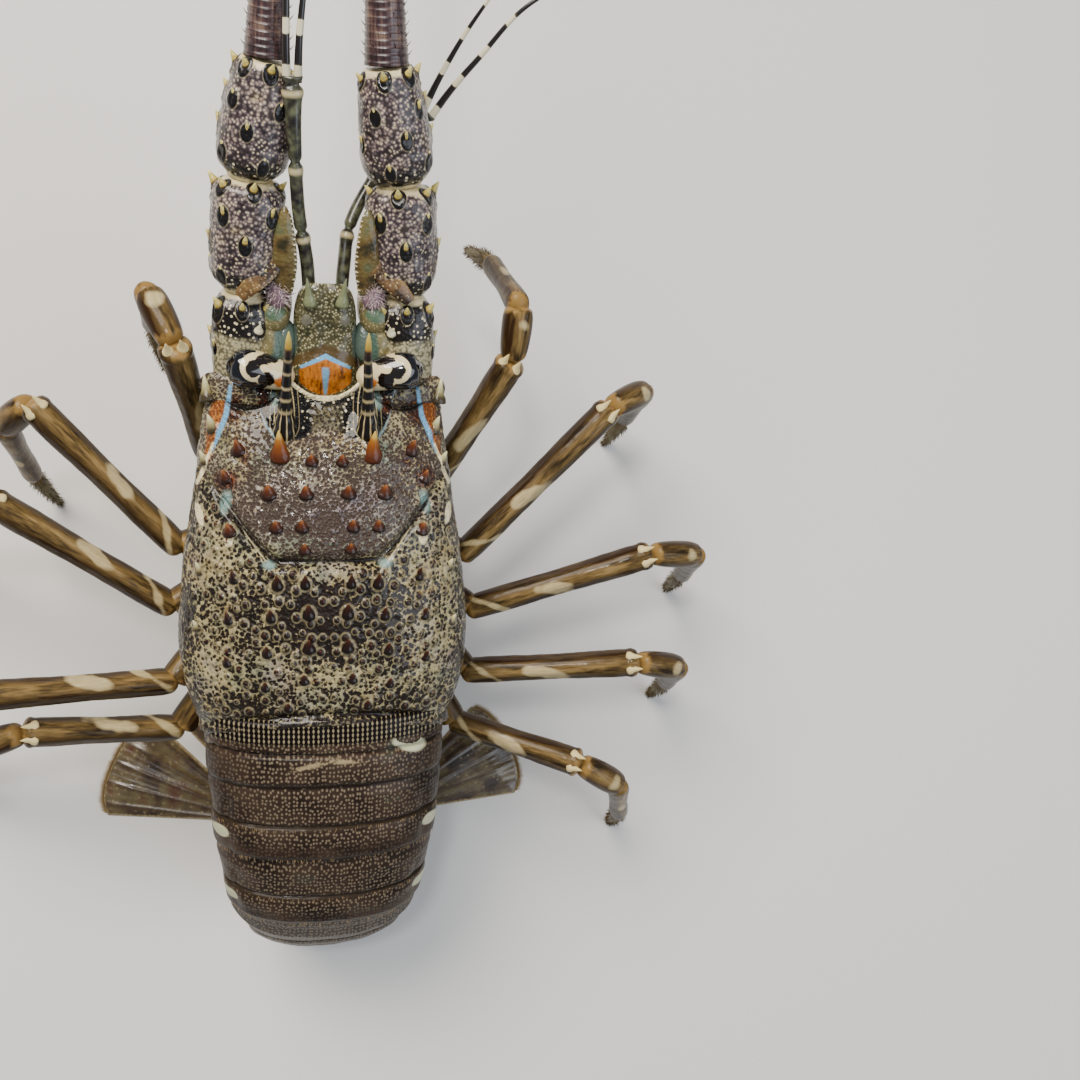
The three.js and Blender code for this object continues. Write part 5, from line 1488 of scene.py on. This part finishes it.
def thighBlotch(run, length, over):
    # a slanted cream stripe near the root and a patch on one side of the middle
    slant = run - over * 5
    patch = ovalField(slant, over * 4, (0.42 * length, 1.7, 4.6, 2.4, 0))
    return np.maximum(1.1 - abs(slant - 0.12 * length), patch * 1.2)


def wristBlotch(run, length, over):
    return ovalField(run, over * 4, (0.7 * length, 1, 1.6, 1.8, 0))


def shinBlotch(run, length, over):
    return ovalField(run, over * 4, (0.55 * length, 1, 2.6, 1.4, 0))


def legParts(points, rootPlace, side, pattern):
    # the upper and the lower node's parts of one leg
    thigh, knee, wrist, ankle, tip = np.array(points, float)
    x, y = rootPlace
    root, hip = toWorld([side * (x - 3), y, -42]), toWorld([side * (x + 6), y, -45])
    reach = thigh - hip
    mid = hip + reach * 0.3
    upper = [closed(*legSegment(a, b, shape, rows, pattern)) for a, b, shape, rows in (
        (root, hip + reach * 0.16, "coxa", 26), (hip + reach * 0.02, mid, "hip", 20),
        (mid - reach * 0.04, thigh + (knee - thigh) * 0.03, "hip", 34))]
    rings, marks = legSegment(thigh, knee, "thigh", 90, pattern + [7, 0, 0], (0, 0, 0.9),
                              (2.2, 1.6), thighBlotch)
    # a flute along the segment's outer face, and a raised hind rim
    share = marks["share"]
    flute = -0.35 * bell(np.sin(marks["turn"]) - 0.55, 0.25) * np.sin(share * np.pi)
    rings = raised(rings, flute + 0.35 * bell(share - 0.95, 0.018) + 0.12 * hillNoise(rings, 6))
    upper.append(closed(rings, marks))
    aim, down = unit(knee - thigh), unit(ankle - wrist)
    outward = unit(np.cross(aim, (0, 0, 1)))
    for lean in (-1, 1):
        foot = knee - aim * 3.2 + np.array([0, 0, 3.6]) + outward * 1.7 * lean
        upper.append(thorn(foot, aim + [0, 0, 0.75], 3.4, 0.95, 12, 10))

    lower = [closed(*legSegment(knee - aim * 0.6, wrist, "wrist", 40, pattern + [21, 0, 0],
                                (0, 0, 0.6), (2.2, 1.4), wristBlotch))]
    rings, marks = legSegment(wrist - down * 1.2, ankle, "shin", 80, pattern + [35, 0, 0],
                              (0, 0, 0), (1.8, 1.2), shinBlotch)
    lower.append(closed(raised(rings, 0.12 * hillNoise(rings, 5)), marks))
    rings, marks = legSegment(ankle - down * 0.8, tip, "claw", 60, 0, down * 1.2, (1.4, 0.8))
    share = marks["share"]
    marks |= {"olive": (share - 0.1) * 12, "nail": (share - 0.88) * 14,
              "end": np.where(share > 0.3, -9, marks["end"])}
    # tufts of stiff hairs on the claw
    count = legs["hairs"]
    row = dice.integers(8, len(rings) - 10, count)
    feet = rings[row, dice.integers(0, legs["around"], count)]
    aims = unit(feet - rings.mean(axis=1)[row]) * 0.7 + unit(tip - ankle) * 0.9
    lengths = dice.uniform(1.0, 2.3, count) * (1 - 0.4 * row / len(rings))
    lower += [closed(rings, marks), bristles(feet, aims, lengths, 0.08, 0.1, hair=1)]
    return upper, lower


def buildLegs(finish):
    for name, side in sides.items():
        for index, rootPlace in enumerate(legs["roots"]):
            pattern = np.array([0, 30 * index, 60 * side])
            halves = legParts(legs[name][index], rootPlace, side, pattern)
            for half, parts in zip(("upper", "lower"), halves):
                buildPiece(f"leg{half.title()}_{index + 1}_{name}", keptAbove(parts), finish,
                           f"leg_{index + 1}_{half}_{name}")


legFinish = legShell()
buildMouthLegs(legFinish)
buildLegs(legFinish)
print("Stage: legs are built")


# Floor, light and camera
studio = {
    "floorSize": 8.0, "floorColour": "#dcdad6", "worldColour": "#cfd3d8", "worldStrength": 0.42,
    # each light: place, size, power, colour
    "lights": [((-0.35, 0.55, 0.85), 0.5, 15.5, "#fff6ea"),
               ((0.7, -0.25, 0.8), 0.8, 6.5, "#eaf2ff"),
               ((-0.15, 0.2, 0.95), 0.08, 2.2, "#ffffff")],
    "aim": (0, 0.06, 0.05),
    "cameraAt": (-0.0125, 0.0382, 0.4034), "cameraAhead": (0.208, 0.0704, -0.9756),
    "cameraUp": (0.0122, 0.9971, 0.0746), "focal": 1250 / 1080,
}


def buildStage():
    scene = bpy.context.scene
    size = studio["floorSize"] / 2
    mesh = bpy.data.meshes.new("studioFloor")
    mesh.from_pydata([(-size, -size, 0), (size, -size, 0), (size, size, 0), (-size, size, 0)],
                     [], [(0, 1, 2, 3)])
    floor = bpy.data.objects.new("studioFloor", mesh)
    scene.collection.objects.link(floor)
    material, add = startFinish("paleMattePaint")
    endFinish(add, studio["floorColour"], Roughness=0.8)
    mesh.materials.append(material)

    for i, (place, width, power, colour) in enumerate(studio["lights"]):
        light = bpy.data.lights.new(f"softBox{i + 1}", "AREA")
        light.shape, light.size, light.energy = "SQUARE", width, power
        light.color = linear(colour)[:3]
        lamp = bpy.data.objects.new(light.name, light)
        lamp.location = place
        ahead = Vector([a - b for a, b in zip(studio["aim"], place)])
        lamp.rotation_euler = ahead.to_track_quat("-Z", "Y").to_euler()
        scene.collection.objects.link(lamp)

    world = bpy.data.worlds.new("softRoom")
    world.use_nodes = True
    sky = world.node_tree.nodes["Background"]
    sky.inputs["Color"].default_value = linear(studio["worldColour"])
    sky.inputs["Strength"].default_value = studio["worldStrength"]
    scene.world = world

    lens = bpy.data.cameras.new("photoView")
    lens.sensor_width, lens.lens, lens.clip_start = 36, 36 * studio["focal"], 0.01
    camera = bpy.data.objects.new("photoView", lens)
    back = -unit(studio["cameraAhead"])
    right = unit(np.cross(studio["cameraUp"], back))
    axes = np.array([right, np.cross(back, right), back]).T
    camera.matrix_world = Matrix([[*row, at] for row, at in zip(axes, studio["cameraAt"])]
                                 + [[0, 0, 0, 1]])
    scene.collection.objects.link(camera)
    scene.camera = camera


buildStage()
print("Stage: floor, lights and camera are set")
